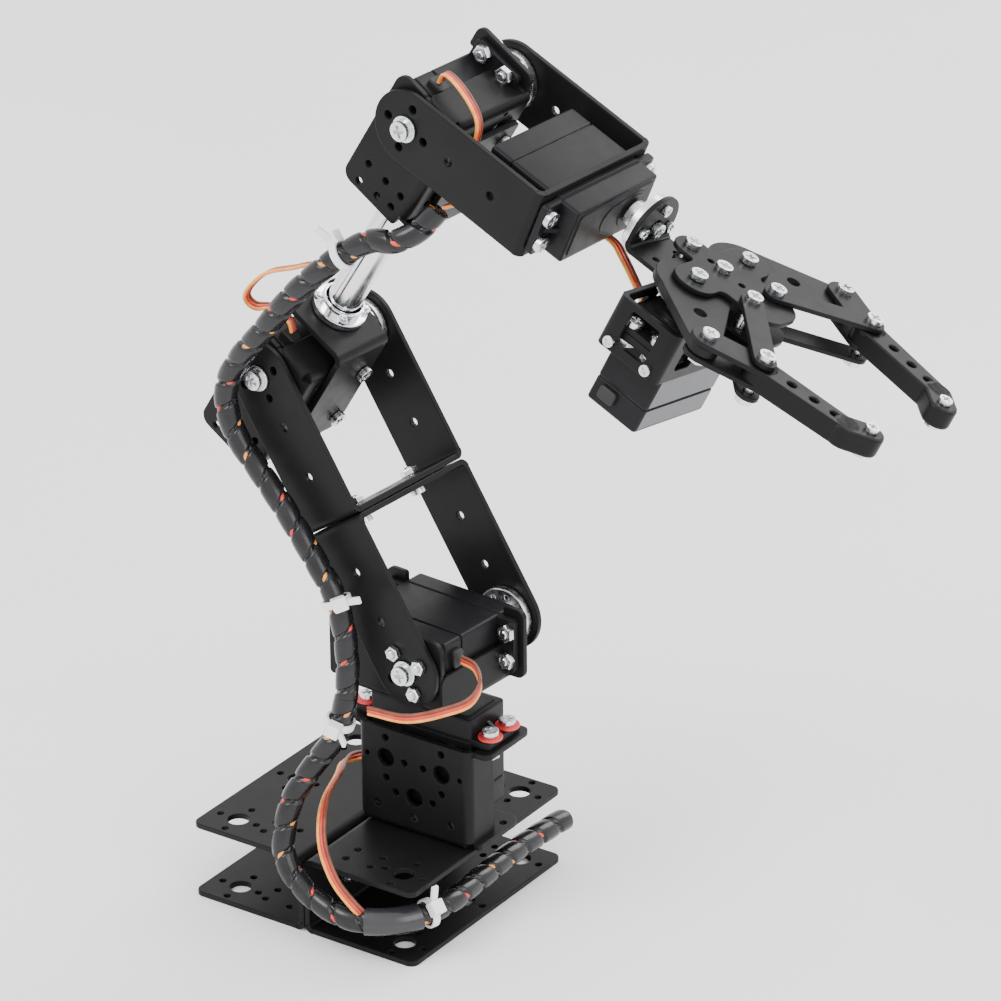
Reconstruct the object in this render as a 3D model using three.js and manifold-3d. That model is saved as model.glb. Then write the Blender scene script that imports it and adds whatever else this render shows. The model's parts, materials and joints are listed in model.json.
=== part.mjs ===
// A small bolted servo arm: base, turntable, two-part upper arm, tube forearm, hand and gripper.
// Millimetres, +Z up, origin on the ground under the middle of the base.
import * as THREE from "three";
import { mergeVertices } from "three/addons/utils/BufferGeometryUtils.js";
import Module from "manifold-3d";

const wasm = await Module();
wasm.setup();

// ---- Driving dimensions --------------------------------------------------------------------

const SHEET = 2; // thickness of every bent plate
const GAP = 0.3; // clearance left between pieces that touch
const DEG = Math.PI / 180;
const X = new THREE.Vector3(1, 0, 0);
const Y = new THREE.Vector3(0, 1, 0);
const Z = new THREE.Vector3(0, 0, 1);

// Base: two channels standing back to back
const BASE = {
  left: -46,
  right: 44.5,
  depth: 88,
  height: 28,
  corner: 3,
  holeX: 34,
  holeY: 34,
  holeR: 3.7,
};
const WEB_BOLTS = [-24, 24]; // bolts through both webs, from the middle
const FOOT_BOLTS = [[24, 12], [24, -5.5]]; // bolts that hold the waist bracket on the base

// Servo motor, measured from its output axis and its underside
const SERVO = {
  front: 10.2, // output axis to the near end of the case
  back: 30.5, // output axis to the far end of the case
  halfWidth: 10,
  height: 37.2,
  earZ: 27.3, // underside of the ears
  earT: 2.5,
  earReach: 6.9,
  screwX: 24.75, // ear screws, from the middle of the case
  screwY: 5,
};
const SERVO_MID = (SERVO.front - SERVO.back) / 2; // middle of the case from the output axis

// Bent servo bracket, in a frame with Z along the output axis and Z = 0 on its rear plate
const BRACKET = {
  halfLength: 22.65,
  depth: 37,
  face: 14.5, // outer face of the main plate from the output axis
  halfWidth: 12.5,
  tab: 6.5, // reach of a tab beyond its end wall
  wall: 14.6, // width of the end walls
  pair: 11.25, // the two large holes from the middle of the main plate
  rearFront: 12.5, // ends of the rear plate from the output axis
  rearBack: 35,
  bearingR: 4.4,
};
const SERVO_SEAT = BRACKET.depth - SHEET - GAP - SERVO.earT - SERVO.earZ; // servo under the tabs
const SERVO_ON_TOP = BRACKET.depth + GAP - SERVO.earZ; // servo on the tabs

// Round steel horn on the output shaft
const HORN = { r: 10.2, bossR: 4.6, lift: 5.8, t: 2.7, screwR: 7.5 };

// Long U bracket: two arms joined by a base
const YOKE = { inner: 52, halfWidth: 12.5, reach: 53.5, hornHoleR: 4.2 };
const YOKE_BOLTS = [-14, 14]; // bolts through two bases back to back
const REAR_Y = -25; // rear plate of a bracket, along the hinge axis

// Arm posture at rest
const WAIST = new THREE.Vector3(12, 3.45, BASE.height + GAP);
const YAW = -4.14 * DEG;
const ARM_SIDE = -1.0; // middle plane of the arm from the waist axis
const UPPER_LEAN = -33.9 * DEG; // upper arm, leaning back from the vertical
const FOREARM_LEAN = 31.9 * DEG; // forearm, leaning forward
const FOREARM = 120.8;
const HAND_DIP = 23.3 * DEG; // hand, below the horizontal
const ROLL = -11 * DEG; // gripper turned about the hand

// Forearm link: two angle plates, two flanges and a tube
const LINK = {
  lowAt: 18,
  highAt: 80.3,
  left: -15,
  right: 9.5,
  foot: 42,
  tubeR: 5.8,
  flangeR: 9.4,
  flangeT: 2.6,
};

// Gripper: X along the hand from the wrist axis, Y from the roll axis, Z up from the roll axis.
// Its two sides are mirror images.
const CLAW = {
  centre: 10.3, // roll axis from the middle plane of the arm
  flangeR: 11.5,
  lower: -6.5, // underside of the lower plate
  upper: 1.9, // underside of the upper plate
  sheet: 1.6,
  gear: [101, 15], // gear pivot
  inner: [117.5, 7], // inner link pivot
  link: [23, 25.5], // from a pivot to its joint on the finger
  linkZ: [-1.4, 1.6],
  teeth: 30, // of a whole wheel
  meshing: 5, // teeth kept on each side of the middle of the sector
  tooth: 0.9, // height of a tooth above the pitch circle
  knuckle: [172, 27.7],
  tip: [177.5, 22.5],
  finger: -3.5, // underside of a finger
  hubR: 13.7, // round part of a gear link
  servoTop: -10.2,
};

// ---- Solids ---------------------------------------------------------------------------------

// A closed three.js geometry becomes a manifold solid
function solid(geometry) {
  const bare = geometry.clone();
  bare.deleteAttribute("normal");
  bare.deleteAttribute("uv");
  const merged = mergeVertices(bare, 1e-4);
  const vertProperties = new Float32Array(merged.attributes.position.array);
  const triVerts = new Uint32Array(merged.index.array);
  return new wasm.Manifold(new wasm.Mesh({ numProp: 3, vertProperties, triVerts }));
}

// A manifold solid becomes a three.js geometry
function geometryOf(body) {
  const mesh = body.getMesh();
  const geometry = new THREE.BufferGeometry();
  geometry.setAttribute("position", new THREE.BufferAttribute(mesh.vertProperties, 3));
  geometry.setIndex(new THREE.BufferAttribute(mesh.triVerts, 1));
  geometry.computeVertexNormals();
  return geometry;
}

const join = (...bodies) => bodies.reduce((all, body) => all.add(body));
const cut = (body, ...tools) => tools.reduce((rest, tool) => rest.subtract(tool), body);

// A box given by its lowest and highest corners
function block(x0, y0, z0, x1, y1, z1) {
  const box = new THREE.BoxGeometry(x1 - x0, y1 - y0, z1 - z0);
  box.translate((x0 + x1) / 2, (y0 + y1) / 2, (z0 + z1) / 2);
  return solid(box);
}

// A cylinder along Z
function rod(x, y, z0, z1, r, sides = 16) {
  const cylinder = new THREE.CylinderGeometry(r, r, z1 - z0, sides);
  cylinder.rotateX(Math.PI / 2);
  cylinder.translate(x, y, (z0 + z1) / 2);
  return solid(cylinder);
}

// A cylinder along X
function rodX(y, z, x0, x1, r, sides = 16) {
  const cylinder = new THREE.CylinderGeometry(r, r, x1 - x0, sides);
  cylinder.rotateZ(-Math.PI / 2);
  cylinder.translate((x0 + x1) / 2, y, z);
  return solid(cylinder);
}

// A cylinder along Y
function rodY(x, z, y0, y1, r, sides = 16) {
  const cylinder = new THREE.CylinderGeometry(r, r, y1 - y0, sides);
  cylinder.translate(x, (y0 + y1) / 2, z);
  return solid(cylinder);
}

function circlePoints(x, y, r, sides) {
  const points = [];
  for (let i = 0; i < sides; i++) {
    const a = (2 * Math.PI * (i + 0.5)) / sides;
    points.push(new THREE.Vector2(x + r * Math.cos(a), y + r * Math.sin(a)));
  }
  return points;
}

// A flat plate between z0 and z1 with round holes [x, y, r]
function plate(shape, z0, z1, holes = [], curveSegments = 2) {
  for (const [x, y, r] of holes) {
    const sides = r > 2.5 ? 12 : 6;
    shape.holes.push(new THREE.Path().setFromPoints(circlePoints(x, y, r, sides)));
  }
  const settings = { depth: z1 - z0, bevelEnabled: false, curveSegments };
  const geometry = new THREE.ExtrudeGeometry(shape, settings);
  geometry.translate(0, 0, z0);
  return solid(geometry);
}

// A rectangle with a radius for each corner, from the lower left one round to the upper left
function rounded(x0, y0, x1, y1, radii) {
  const [a, b, c, d] = Array.isArray(radii) ? radii : [radii, radii, radii, radii];
  const shape = new THREE.Shape();
  shape.moveTo(x0 + a, y0);
  shape.lineTo(x1 - b, y0);
  if (b) shape.absarc(x1 - b, y0 + b, b, -Math.PI / 2, 0);
  shape.lineTo(x1, y1 - c);
  if (c) shape.absarc(x1 - c, y1 - c, c, 0, Math.PI / 2);
  shape.lineTo(x0 + d, y1);
  if (d) shape.absarc(x0 + d, y1 - d, d, Math.PI / 2, Math.PI);
  shape.lineTo(x0, y0 + a);
  if (a) shape.absarc(x0 + a, y0 + a, a, Math.PI, 1.5 * Math.PI);
  return shape;
}

// A large hole with four small ones around it
function holeGroup(x, y, r, spread = 7.5, small = 1.3) {
  return [
    [x, y, r],
    [x + spread, y, small],
    [x - spread, y, small],
    [x, y + spread, small],
    [x, y - spread, small],
  ];
}

// ---- Materials ------------------------------------------------------------------------------

function finish(color, roughness, metalness) {
  return new THREE.MeshStandardMaterial({ color, roughness, metalness });
}

const BLACK_PAINT = finish(0x17181a, 0.5, 0.3);
const BLACK_PLASTIC = finish(0x0f1011, 0.55, 0);
const STEEL = finish(0xc9ccd0, 0.25, 1);
const ALUMINIUM = finish(0xd8dade, 0.22, 1);
const SLEEVE = finish(0x141416, 0.6, 0);
const LEAD_RED = finish(0xc8452a, 0.5, 0);

function piece(name, body, material) {
  const mesh = new THREE.Mesh(geometryOf(body), material);
  mesh.name = name;
  return mesh;
}

// ---- Repeated sub-parts -----------------------------------------------------------------------

// One base channel: two flanges and a web, opening to the given side
function baseChannel(name, side) {
  const { left, right, depth, height, corner, holeX, holeY, holeR } = BASE;
  const near = (GAP / 2) * side;
  const far = side > 0 ? right : left;
  const [x0, x1] = [Math.min(near, far), Math.max(near, far)];
  const radii = side > 0 ? [0, corner, corner, 0] : [corner, 0, 0, corner];
  const holes = [-holeY, 0, holeY].map((y) => [holeX * side, y, holeR]);
  const flange = (z) => {
    const outline = rounded(x0, -depth / 2, x1, depth / 2, radii);
    return plate(outline, z, z + SHEET, holes);
  };
  const inner = near + SHEET * side;
  const [web0, web1] = [Math.min(near, inner), Math.max(near, inner)];
  const web = block(web0, -depth / 2, 0, web1, depth / 2, height);
  const channel = join(flange(0), flange(height - SHEET), web);
  const bolts = WEB_BOLTS.map((y) => rodX(y, height / 2, x0 - 1, x1 + 1, 1.9, 8));
  const feet = FOOT_BOLTS.map(([x, y]) => rod(x, y, height - SHEET - 1, height + 1, 1.8, 8));
  return piece(name, cut(channel, ...bolts, ...feet), BLACK_PAINT);
}

// Bolt along Z with a head below z0 and a nut above z1
function throughBolt(z0, z1, r = 1.5, headR = 2.8, headT = 2, nutT = 2.2) {
  const head = rod(0, 0, z0 - GAP - headT, z0 - GAP, headR, 8);
  const shank = rod(0, 0, z0 - GAP - 0.5, z1 + GAP + nutT + 0.6, r, 6);
  const nut = rod(0, 0, z1 + GAP, z1 + GAP + nutT, headR + 0.4, 6);
  return join(head, shank, nut);
}

// End wall of a bracket with its tab, at one end of the main plate
function bracketEnd(side) {
  const { halfLength, depth, face, halfWidth, tab, wall } = BRACKET;
  const outer = SERVO_MID + side * halfLength;
  const inner = outer - side * SHEET;
  const [wall0, wall1] = [Math.min(outer, inner), Math.max(outer, inner)];
  const upright = block(wall0, face - wall, 0, wall1, face, depth);
  const earRoom = block(
    wall0 - 1, face - wall - 1, SERVO_SEAT + SERVO.earZ - GAP,
    wall1 + 1, SERVO.halfWidth, depth - SHEET,
  );
  const end = outer + side * tab;
  const [x0, x1] = [Math.min(inner, end), Math.max(inner, end)];
  const radii = side > 0 ? [0, 3, 3, 0] : [3, 0, 0, 3];
  const screws = [-1, 1].map((s) => {
    return [SERVO_MID + side * SERVO.screwX, s * SERVO.screwY, 1.8];
  });
  const outline = rounded(x0, -halfWidth, x1, halfWidth, radii);
  return join(cut(upright, earRoom), plate(outline, depth - SHEET, depth, screws));
}

// Bent sheet bracket that carries a servo; drilled gives extra holes in its rear plate
function servoBracket(name, drilled = []) {
  const { halfLength, depth, face, halfWidth, pair, rearFront, rearBack, bearingR } = BRACKET;
  const m = SERVO_MID;
  const rearOutline = rounded(-rearBack, -halfWidth, rearFront, face, 4);
  const rear = plate(rearOutline, 0, SHEET, [[0, 0, bearingR]]);
  const mainHoles = [...holeGroup(m - pair, 26, 3.3), [m + pair, 26, 3.3], [m, 15, 3.3]];
  const mainOutline = rounded(m - halfLength, 0, m + halfLength, depth, 0);
  const main = plate(mainOutline, 0, SHEET, mainHoles).rotate([90, 0, 0]).translate([0, face, 0]);
  const drills = drilled.map(([x, y]) => rod(x, y, -1, SHEET + 1, 1.8, 8));
  const sheet = join(rear, main, bracketEnd(-1), bracketEnd(1));
  return piece(name, cut(sheet, ...drills), BLACK_PAINT);
}

// The four screw holes in the ears of a servo
function earHoles(r) {
  const { screwX, screwY } = SERVO;
  return [-1, 1].flatMap((s) => [-1, 1].map((t) => [SERVO_MID + s * screwX, t * screwY, r]));
}

// Servo motor standing on its underside, output axis at the origin
function servoCase(name) {
  const { front, back, halfWidth, height, earZ, earT, earReach } = SERVO;
  const body = block(-back, -halfWidth, 0, front, halfWidth, height - 1.6);
  const half = halfWidth - 0.6;
  const top = block(-back + 0.6, -half, height - 1.7, front - 0.6, half, height);
  const earHalf = halfWidth - 0.4;
  const earOutline = rounded(-back - earReach, -earHalf, front + earReach, earHalf, 1.5);
  const ears = plate(earOutline, earZ, earZ + earT, earHoles(1.9));
  const collar = rod(0, 0, height - 0.2, height + 0.5, 6.4, 12);
  const lead = block(front - 0.5, -6.4, 3.2, front + 1.6, -0.4, 7.4);
  return piece(name, join(body, top, ears, collar, lead), BLACK_PLASTIC);
}

// Round horn under a plate, with its screws through that plate; z = 0 on the top of the servo
function servoHorn(name, plateT = SHEET, screws = [0, 90, 180, 270]) {
  const top = HORN.lift + HORN.t;
  const seat = top + plateT + 2 * GAP;
  const parts = [
    rod(0, 0, HORN.lift - 0.1, top, HORN.r, 16),
    rod(0, 0, 0.8, HORN.lift + 0.1, HORN.bossR, 10),
    rod(0, 0, top - 0.5, seat + 0.5, 1.5, 8),
    rod(0, 0, seat, seat + 2, 2.9, 8),
  ];
  for (const angle of screws) {
    const x = HORN.screwR * Math.cos(angle * DEG);
    const y = HORN.screwR * Math.sin(angle * DEG);
    parts.push(rod(x, y, top - 0.5, seat + 0.5, 1, 6), rod(x, y, seat, seat + 1.6, 1.9, 6));
  }
  return piece(name, join(...parts), STEEL);
}

// Flanged ball bearing in the rear plate of a bracket
function bearing(name) {
  const race = rod(0, 0, -0.4, SHEET, BRACKET.bearingR - GAP, 12);
  const rim = rod(0, 0, -0.75, -GAP, 5.2, 12);
  return piece(name, cut(join(race, rim), rod(0, 0, -2, 4, 1.8, 8)), STEEL);
}

// Long U bracket: hinge axis along Z through the origin, base towards +X. A window gives the
// base other holes and an opening.
function yoke(name, window = null) {
  const { inner, halfWidth, reach, hornHoleR } = YOKE;
  const arm = new THREE.Shape();
  arm.moveTo(0, -halfWidth);
  arm.lineTo(reach, -halfWidth);
  arm.lineTo(reach, halfWidth);
  arm.lineTo(0, halfWidth);
  arm.absarc(0, 0, halfWidth, Math.PI / 2, 1.5 * Math.PI);
  const line = [[18.3, 0, 1.5], [36.3, 0, 1.5]];
  const hornHoles = holeGroup(0, 0, hornHoleR, HORN.screwR, 1.5);
  const z = inner / 2;
  const far = plate(arm.clone(), z, z + SHEET, [...hornHoles, ...line], 5);
  const near = plate(arm, -z - SHEET, -z, [[0, 0, 2], ...line], 5);
  const baseOutline = rounded(-halfWidth, -z - SHEET, halfWidth, z + SHEET, 0);
  const plainHoles = [[0, 0, 3.3], ...YOKE_BOLTS.map((y) => [0, y, 1.8])];
  let base = plate(baseOutline, 0, SHEET, window ? window.holes : plainHoles);
  if (window) base = cut(base, window.opening);
  base = base.rotate([0, 90, 0]).rotate([90, 0, 0]).translate([reach - SHEET, 0, 0]);
  return piece(name, join(far, near, base), BLACK_PAINT);
}

// ---- Placing ----------------------------------------------------------------------------------

function group(...children) {
  const holder = new THREE.Group();
  if (children.length) holder.add(...children);
  return holder;
}

// Puts a group on a point, with its X and Z axes along two given directions
function frameAt(holder, origin, x, z) {
  const y = new THREE.Vector3().crossVectors(z, x);
  holder.quaternion.setFromRotationMatrix(new THREE.Matrix4().makeBasis(x, y, z));
  holder.position.copy(origin);
  return holder;
}

const at = (mesh, x, y, z) => {
  mesh.position.set(x, y, z);
  return mesh;
};

// ---- Base and waist ---------------------------------------------------------------------------

function baseParts() {
  const half = GAP / 2 + SHEET;
  const bolts = WEB_BOLTS.map((y, i) => {
    const bolt = piece(i ? "base_bolt_rear" : "base_bolt_front", throughBolt(-half, half), STEEL);
    return frameAt(group(bolt), new THREE.Vector3(0, y, BASE.height / 2), Y, X);
  });
  return [baseChannel("base_channel_left", -1), baseChannel("base_channel_right", 1), ...bolts];
}

function footBolts() {
  return FOOT_BOLTS.map(([x, y], i) => {
    const body = throughBolt(BASE.height - SHEET, WAIST.z + SHEET);
    return at(piece(`waist_foot_bolt_${i + 1}`, body, STEEL), x, y, 0);
  });
}

// Bracket, servo and, on a hinge, the bearing, in the frame of the output axis
function servoUnit(name, seat, extra = [], drilled = []) {
  const bracket = servoBracket(`${name}_bracket`, drilled);
  const servo = at(servoCase(`${name}_servo`), 0, 0, seat);
  return group(bracket, servo, ...extra);
}

function waist() {
  const drilled = FOOT_BOLTS.map(([x, y]) => [WAIST.x - x, WAIST.y - y]);
  const unit = servoUnit("waist", SERVO_ON_TOP, [], drilled);
  return frameAt(unit, WAIST, X.clone().negate(), Z);
}

// ---- Arm --------------------------------------------------------------------------------------

// Directions in the upright plane of the arm: X forward, Z up, Y along the hinge axes
const along = (angle) => new THREE.Vector3(Math.sin(angle), 0, Math.cos(angle));
const SHOULDER = new THREE.Vector3(
  BRACKET.pair - SERVO_MID,
  0,
  SERVO_ON_TOP + SERVO.height + HORN.lift + HORN.t + GAP + BRACKET.face,
);
const UPPER_ARM = 2 * YOKE.reach + GAP;
const ELBOW = SHOULDER.clone().addScaledVector(along(UPPER_LEAN), UPPER_ARM);
const WRIST = ELBOW.clone().addScaledVector(along(FOREARM_LEAN), FOREARM);
const HAND = along(Math.PI / 2 + HAND_DIP);
const PALM_UP = along(HAND_DIP);

// A hinge unit: bracket, servo and bearing, long axis along a direction
function hingeUnit(name, point, direction) {
  const unit = servoUnit(name, SERVO_SEAT, [bearing(`${name}_bearing`)]);
  return frameAt(unit, point.clone().setY(REAR_Y), direction, Y);
}

// A yoke with its horn and its pivot bolt
function yokeUnit(yokeMesh, name, point, direction) {
  const horn = at(servoHorn(`${name}_horn`), 0, 0, REAR_Y + SERVO_SEAT + SERVO.height);
  const body = throughBolt(-YOKE.inner / 2 - SHEET, REAR_Y + SHEET - 0.1, 1.5, 2.8, 2, 1.9);
  const pivot = piece(`${name}_pivot_bolt`, body, STEEL);
  return frameAt(group(yokeMesh, horn, pivot), point, direction, Y);
}

function upperArm() {
  const up = along(UPPER_LEAN);
  const lower = yokeUnit(yoke("upper_arm_lower_bracket"), "shoulder", SHOULDER, up);
  const upper = yokeUnit(yoke("upper_arm_upper_bracket"), "elbow", ELBOW, up.clone().negate());
  const middle = SHOULDER.clone().addScaledVector(up, UPPER_ARM / 2);
  const bolts = YOKE_BOLTS.map((y, i) => {
    const half = SHEET + GAP / 2;
    const bolt = piece(`upper_arm_bolt_${i + 1}`, throughBolt(-half, half), STEEL);
    return frameAt(group(bolt), middle.clone().setY(y), Y, up);
  });
  return [lower, upper, ...bolts];
}

// Angle plate on the main plate of a bracket; x along the forearm, y away from the servo
function anglePlate(name, at0, side) {
  const { left, right, foot } = LINK;
  const inner = BRACKET.face + GAP;
  const outer = inner + SHEET;
  const far = at0 - side * foot;
  const leg = block(Math.min(at0, far), inner, left, Math.max(at0, far), outer, right);
  const x1 = at0 + side * SHEET;
  const end = block(Math.min(at0, x1), -LINK.flangeR - 1, left, Math.max(at0, x1), outer, right);
  const screws = flangeScrews().map(([y, z]) => rodX(y, z, at0 - 3, at0 + 3, 1.3, 6));
  const bolts = legBolts(at0, side).map(([x, z]) => rodY(x, z, inner - 1, outer + 1, 1.8, 8));
  return piece(name, cut(join(leg, end), ...screws, ...bolts), BLACK_PAINT);
}

// Screws around the tube, and bolts along the leg of an angle plate
function flangeScrews() {
  return [45, 135, 225, 315].map((a) => [7 * Math.cos(a * DEG), 7 * Math.sin(a * DEG)]);
}

function legBolts(at0, side) {
  return [13, 35.7].map((x) => [at0 - side * x, 4]);
}

// Round flange with a collar that holds one end of the tube
function tubeFlange(name, at0, side) {
  const x0 = at0 + side * (SHEET + GAP);
  const x1 = x0 + side * LINK.flangeT;
  const x2 = x1 + side * 3;
  const floor = x0 + side * 0.4;
  const mouth = x0 + side * 8;
  const disc = rodX(0, 0, Math.min(x0, x1), Math.max(x0, x1), LINK.flangeR);
  const collar = rodX(0, 0, Math.min(x1, x2), Math.max(x1, x2), LINK.tubeR + 1.6);
  const socket = rodX(0, 0, Math.min(floor, mouth), Math.max(floor, mouth), LINK.tubeR + 2 * GAP);
  return piece(name, cut(join(disc, collar), socket), ALUMINIUM);
}

function forearm() {
  const direction = along(FOREARM_LEAN);
  const { lowAt, highAt, tubeR } = LINK;
  const tubeEnd = SHEET + 2 * GAP + 0.4;
  const tube = rodX(0, 0, lowAt + tubeEnd, highAt - tubeEnd, tubeR, 16);
  const link = group(
    anglePlate("forearm_lower_angle", lowAt, 1),
    anglePlate("forearm_upper_angle", highAt + SHEET, -1),
    tubeFlange("forearm_lower_flange", lowAt, 1),
    tubeFlange("forearm_upper_flange", highAt + SHEET, -1),
    piece("forearm_tube", tube, ALUMINIUM),
  );
  return [
    hingeUnit("elbow", ELBOW, direction),
    frameAt(link, ELBOW, direction, Y),
    hingeUnit("wrist", WRIST, direction),
  ];
}

// ---- Hand and gripper -------------------------------------------------------------------------

function hand() {
  const { earZ, front, back, halfWidth } = SERVO;
  const middle = CLAW.centre + SERVO_MID;
  const edge = (front + back) / 2 + GAP;
  const side = halfWidth + GAP;
  const holes = earHoles(1.8).map(([x, y, r]) => [y, CLAW.centre + x, r]);
  const opening = block(-side, middle - edge, -1, side, middle + edge, SHEET + 1);
  const palm = yokeUnit(yoke("hand_bracket", { holes, opening }), "wrist", WRIST, HAND);
  const seat = WRIST.clone().addScaledVector(HAND, YOKE.reach + GAP - earZ).setY(CLAW.centre);
  return [palm, frameAt(group(servoCase("roll_servo")), seat, Y, HAND)];
}

const ROLL_HORN_AT = YOKE.reach + GAP - SERVO.earZ + SERVO.height;
const FLANGE_AT = ROLL_HORN_AT + HORN.lift + HORN.t + GAP;

// Outline around two circles and the straight edges between them
function taper([px, py], pr, [qx, qy], qr) {
  const heading = Math.atan2(qy - py, qx - px);
  const spread = Math.acos((pr - qr) / Math.hypot(qx - px, qy - py));
  const shape = new THREE.Shape();
  shape.absarc(px, py, pr, heading + spread, heading - spread + 2 * Math.PI);
  shape.absarc(qx, qy, qr, heading - spread, heading + spread);
  return shape;
}

// Points of the linkage on one side of the gripper (side is -1 or 1)
function linkage(side) {
  const { gear, inner, link, knuckle, tip } = CLAW;
  const mirror = ([x, y]) => [x, side * y];
  const sum = (a, b) => [a[0] + b[0], a[1] + b[1]];
  return {
    gear: mirror(gear),
    inner: mirror(inner),
    rear: mirror(sum(gear, link)),
    front: mirror(sum(inner, link)),
    knuckle: mirror(knuckle),
    tip: mirror(tip),
  };
}

// Bent base of the gripper: a round flange on the roll horn and the lower plate
function gripperBase() {
  const { flangeR, lower, sheet, gear, inner } = CLAW;
  const round = flangeR - 0.01;
  const discOutline = rounded(-flangeR, lower, flangeR, flangeR, [0, 0, round, round]);
  const { screwR } = HORN;
  const discHoles = [[0, 0, 3.2], [screwR, 0, 1.4], [-screwR, 0, 1.4], [0, screwR, 1.4]];
  const disc = plate(discOutline, 0, sheet, discHoles);
  const flange = disc.rotate([90, 0, 90]).translate([FLANGE_AT, 0, 0]);
  const web = plate(rounded(FLANGE_AT, -flangeR, gear[0], flangeR, 0), lower, lower + sheet);
  const holes = [rod(gear[0], -gear[1], lower - 1, lower + 3, 5.6, 20), pinHole(gear[0], gear[1])];
  holes.push(pinHole(inner[0], inner[1]), pinHole(inner[0], -inner[1]), pinHole(88, 0));
  const floor = cut(join(web, ...clawPlates(lower)), ...holes);
  return piece("gripper_base", join(flange, floor), BLACK_PAINT);
}

const pinHole = (x, y) => rod(x, y, -12, 12, 1.9, 8);

// The two crossing outlines shared by the lower and upper plates
function clawPlates(z) {
  const [left, right] = [linkage(-1), linkage(1)];
  const across = taper(left.gear, 7.5, right.gear, 7.5);
  const nose = taper([100, 0], 11, [CLAW.inner[0], 0], 11);
  return [across, nose].map((shape) => plate(shape, z, z + CLAW.sheet));
}

function gripperTopPlate() {
  const { upper, sheet, gear, inner } = CLAW;
  const tail = plate(taper([88, 0], 6, [101, 0], 9), upper, upper + sheet);
  const holes = [pinHole(...gear), pinHole(gear[0], -gear[1]), pinHole(88, 0)];
  holes.push(pinHole(...inner), pinHole(inner[0], -inner[1]));
  return piece("gripper_top_plate", cut(join(tail, ...clawPlates(upper)), ...holes), BLACK_PAINT);
}

// Screw with a head above z1 and a nut below z0
function pin(x, y, z0, z1, r = 1.5) {
  const shank = rod(x, y, z0 - GAP - 0.5, z1 + GAP + 0.5, r, 6);
  const head = rod(x, y, z1 + GAP, z1 + GAP + 2, 2.8, 8);
  const nut = rod(x, y, z0 - GAP - 2, z0 - GAP, 3.1, 6);
  return join(shank, head, nut);
}

// Toothed sector centred on a pivot, one tooth or gap towards the other wheel
function gearWheel([cx, cy], z0, z1, phase) {
  const { teeth, meshing, gear, tooth } = CLAW;
  const pitchR = gear[1];
  const step = (2 * Math.PI) / teeth;
  const shape = new THREE.Shape();
  shape.moveTo(cx, cy);
  for (let i = -meshing; i <= meshing; i++) {
    const a = i * step + phase;
    const [root, crest] = [pitchR - 1.1, pitchR + tooth];
    for (const [offset, r] of [[-0.3, root], [-0.13, crest], [0.13, crest], [0.3, root]]) {
      const turn = a + offset * step;
      shape.lineTo(cx + r * Math.cos(turn), cy + r * Math.sin(turn));
    }
  }
  return plate(shape, z0, z1);
}

// Gear wheel and outer link in one plate
function gearLink(name, side) {
  const { linkZ, teeth, hubR } = CLAW;
  const [z0, z1] = linkZ;
  const { gear, rear } = linkage(side);
  const phase = (-side * Math.PI) / 2 + (side > 0 ? Math.PI / teeth : 0);
  const arm = plate(taper(gear, hubR, rear, 5), z0, z1, [], 4);
  const whole = join(gearWheel(gear, z0, z1, phase), arm);
  return piece(name, cut(whole, pinHole(...gear), pinHole(...rear)), BLACK_PAINT);
}

// Two straps joined by their two pins
function innerLink(name, side) {
  const { lower, upper, sheet } = CLAW;
  const { inner, front } = linkage(side);
  const bottom = lower - GAP;
  const top = upper + sheet + GAP;
  const strap = (z) => plate(taper(inner, 4, front, 4), z, z + sheet);
  const straps = [strap(bottom - sheet), strap(top)];
  const pins = [inner, front].map(([x, y]) => pin(x, y, bottom - sheet + GAP, top + sheet - GAP));
  return piece(name, join(...straps, ...pins), BLACK_PAINT);
}

// Finger: a bar with two ears around the outer link
function finger(name, side) {
  const { finger: bottom, upper, sheet } = CLAW;
  const { rear, front, knuckle, tip } = linkage(side);
  const top = upper + sheet;
  const ear = (z) => plate(taper(rear, 5.5, front, 5.5), z, z + sheet);
  const bar = plate(taper(front, 5, knuckle, 4.2), bottom, top);
  const pad = plate(taper(knuckle, 4.8, tip, 4.8), bottom, top);
  const bore = rod(...front, bottom - 1, top + 1, 2.2, 12);
  const hinge = pin(...rear, bottom + GAP, top - GAP);
  const body = join(cut(join(ear(bottom), ear(upper), bar), bore), pad, hinge);
  return piece(name, body, BLACK_PAINT);
}

// Open box that carries the gripper servo by its ears, in the frame of the servo
function gripperServoFrame() {
  const { front, back, halfWidth, height, earZ, earT, earReach } = SERVO;
  const [x0, x1] = [-back - earReach - GAP, front + earReach + GAP];
  const half = halfWidth + GAP;
  const top = height + CLAW.lower - GAP - CLAW.servoTop;
  const bottom = earZ - 5;
  const ledge = earZ + earT + GAP;
  const walls = cut(
    block(x0 - SHEET, -half - SHEET, bottom, x1 + SHEET, half + SHEET, top),
    block(x0, -half, bottom - 1, x1, half, top + 1),
    block(x1 - 1, -4, ledge - 3, x1 + 3, 4, ledge + 5),
  );
  const shelf = cut(
    block(x0 - 1, -half - 1, ledge, x1 + 1, half + 1, ledge + SHEET),
    block(-back - GAP, -half + GAP, ledge - 1, front + GAP, half - GAP, ledge + 3),
    ...earHoles(1.8).map(([x, y, r]) => rod(x, y, ledge - 1, ledge + 4, r, 8)),
  );
  return piece("gripper_servo_frame", join(walls, shelf), BLACK_PAINT);
}

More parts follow.
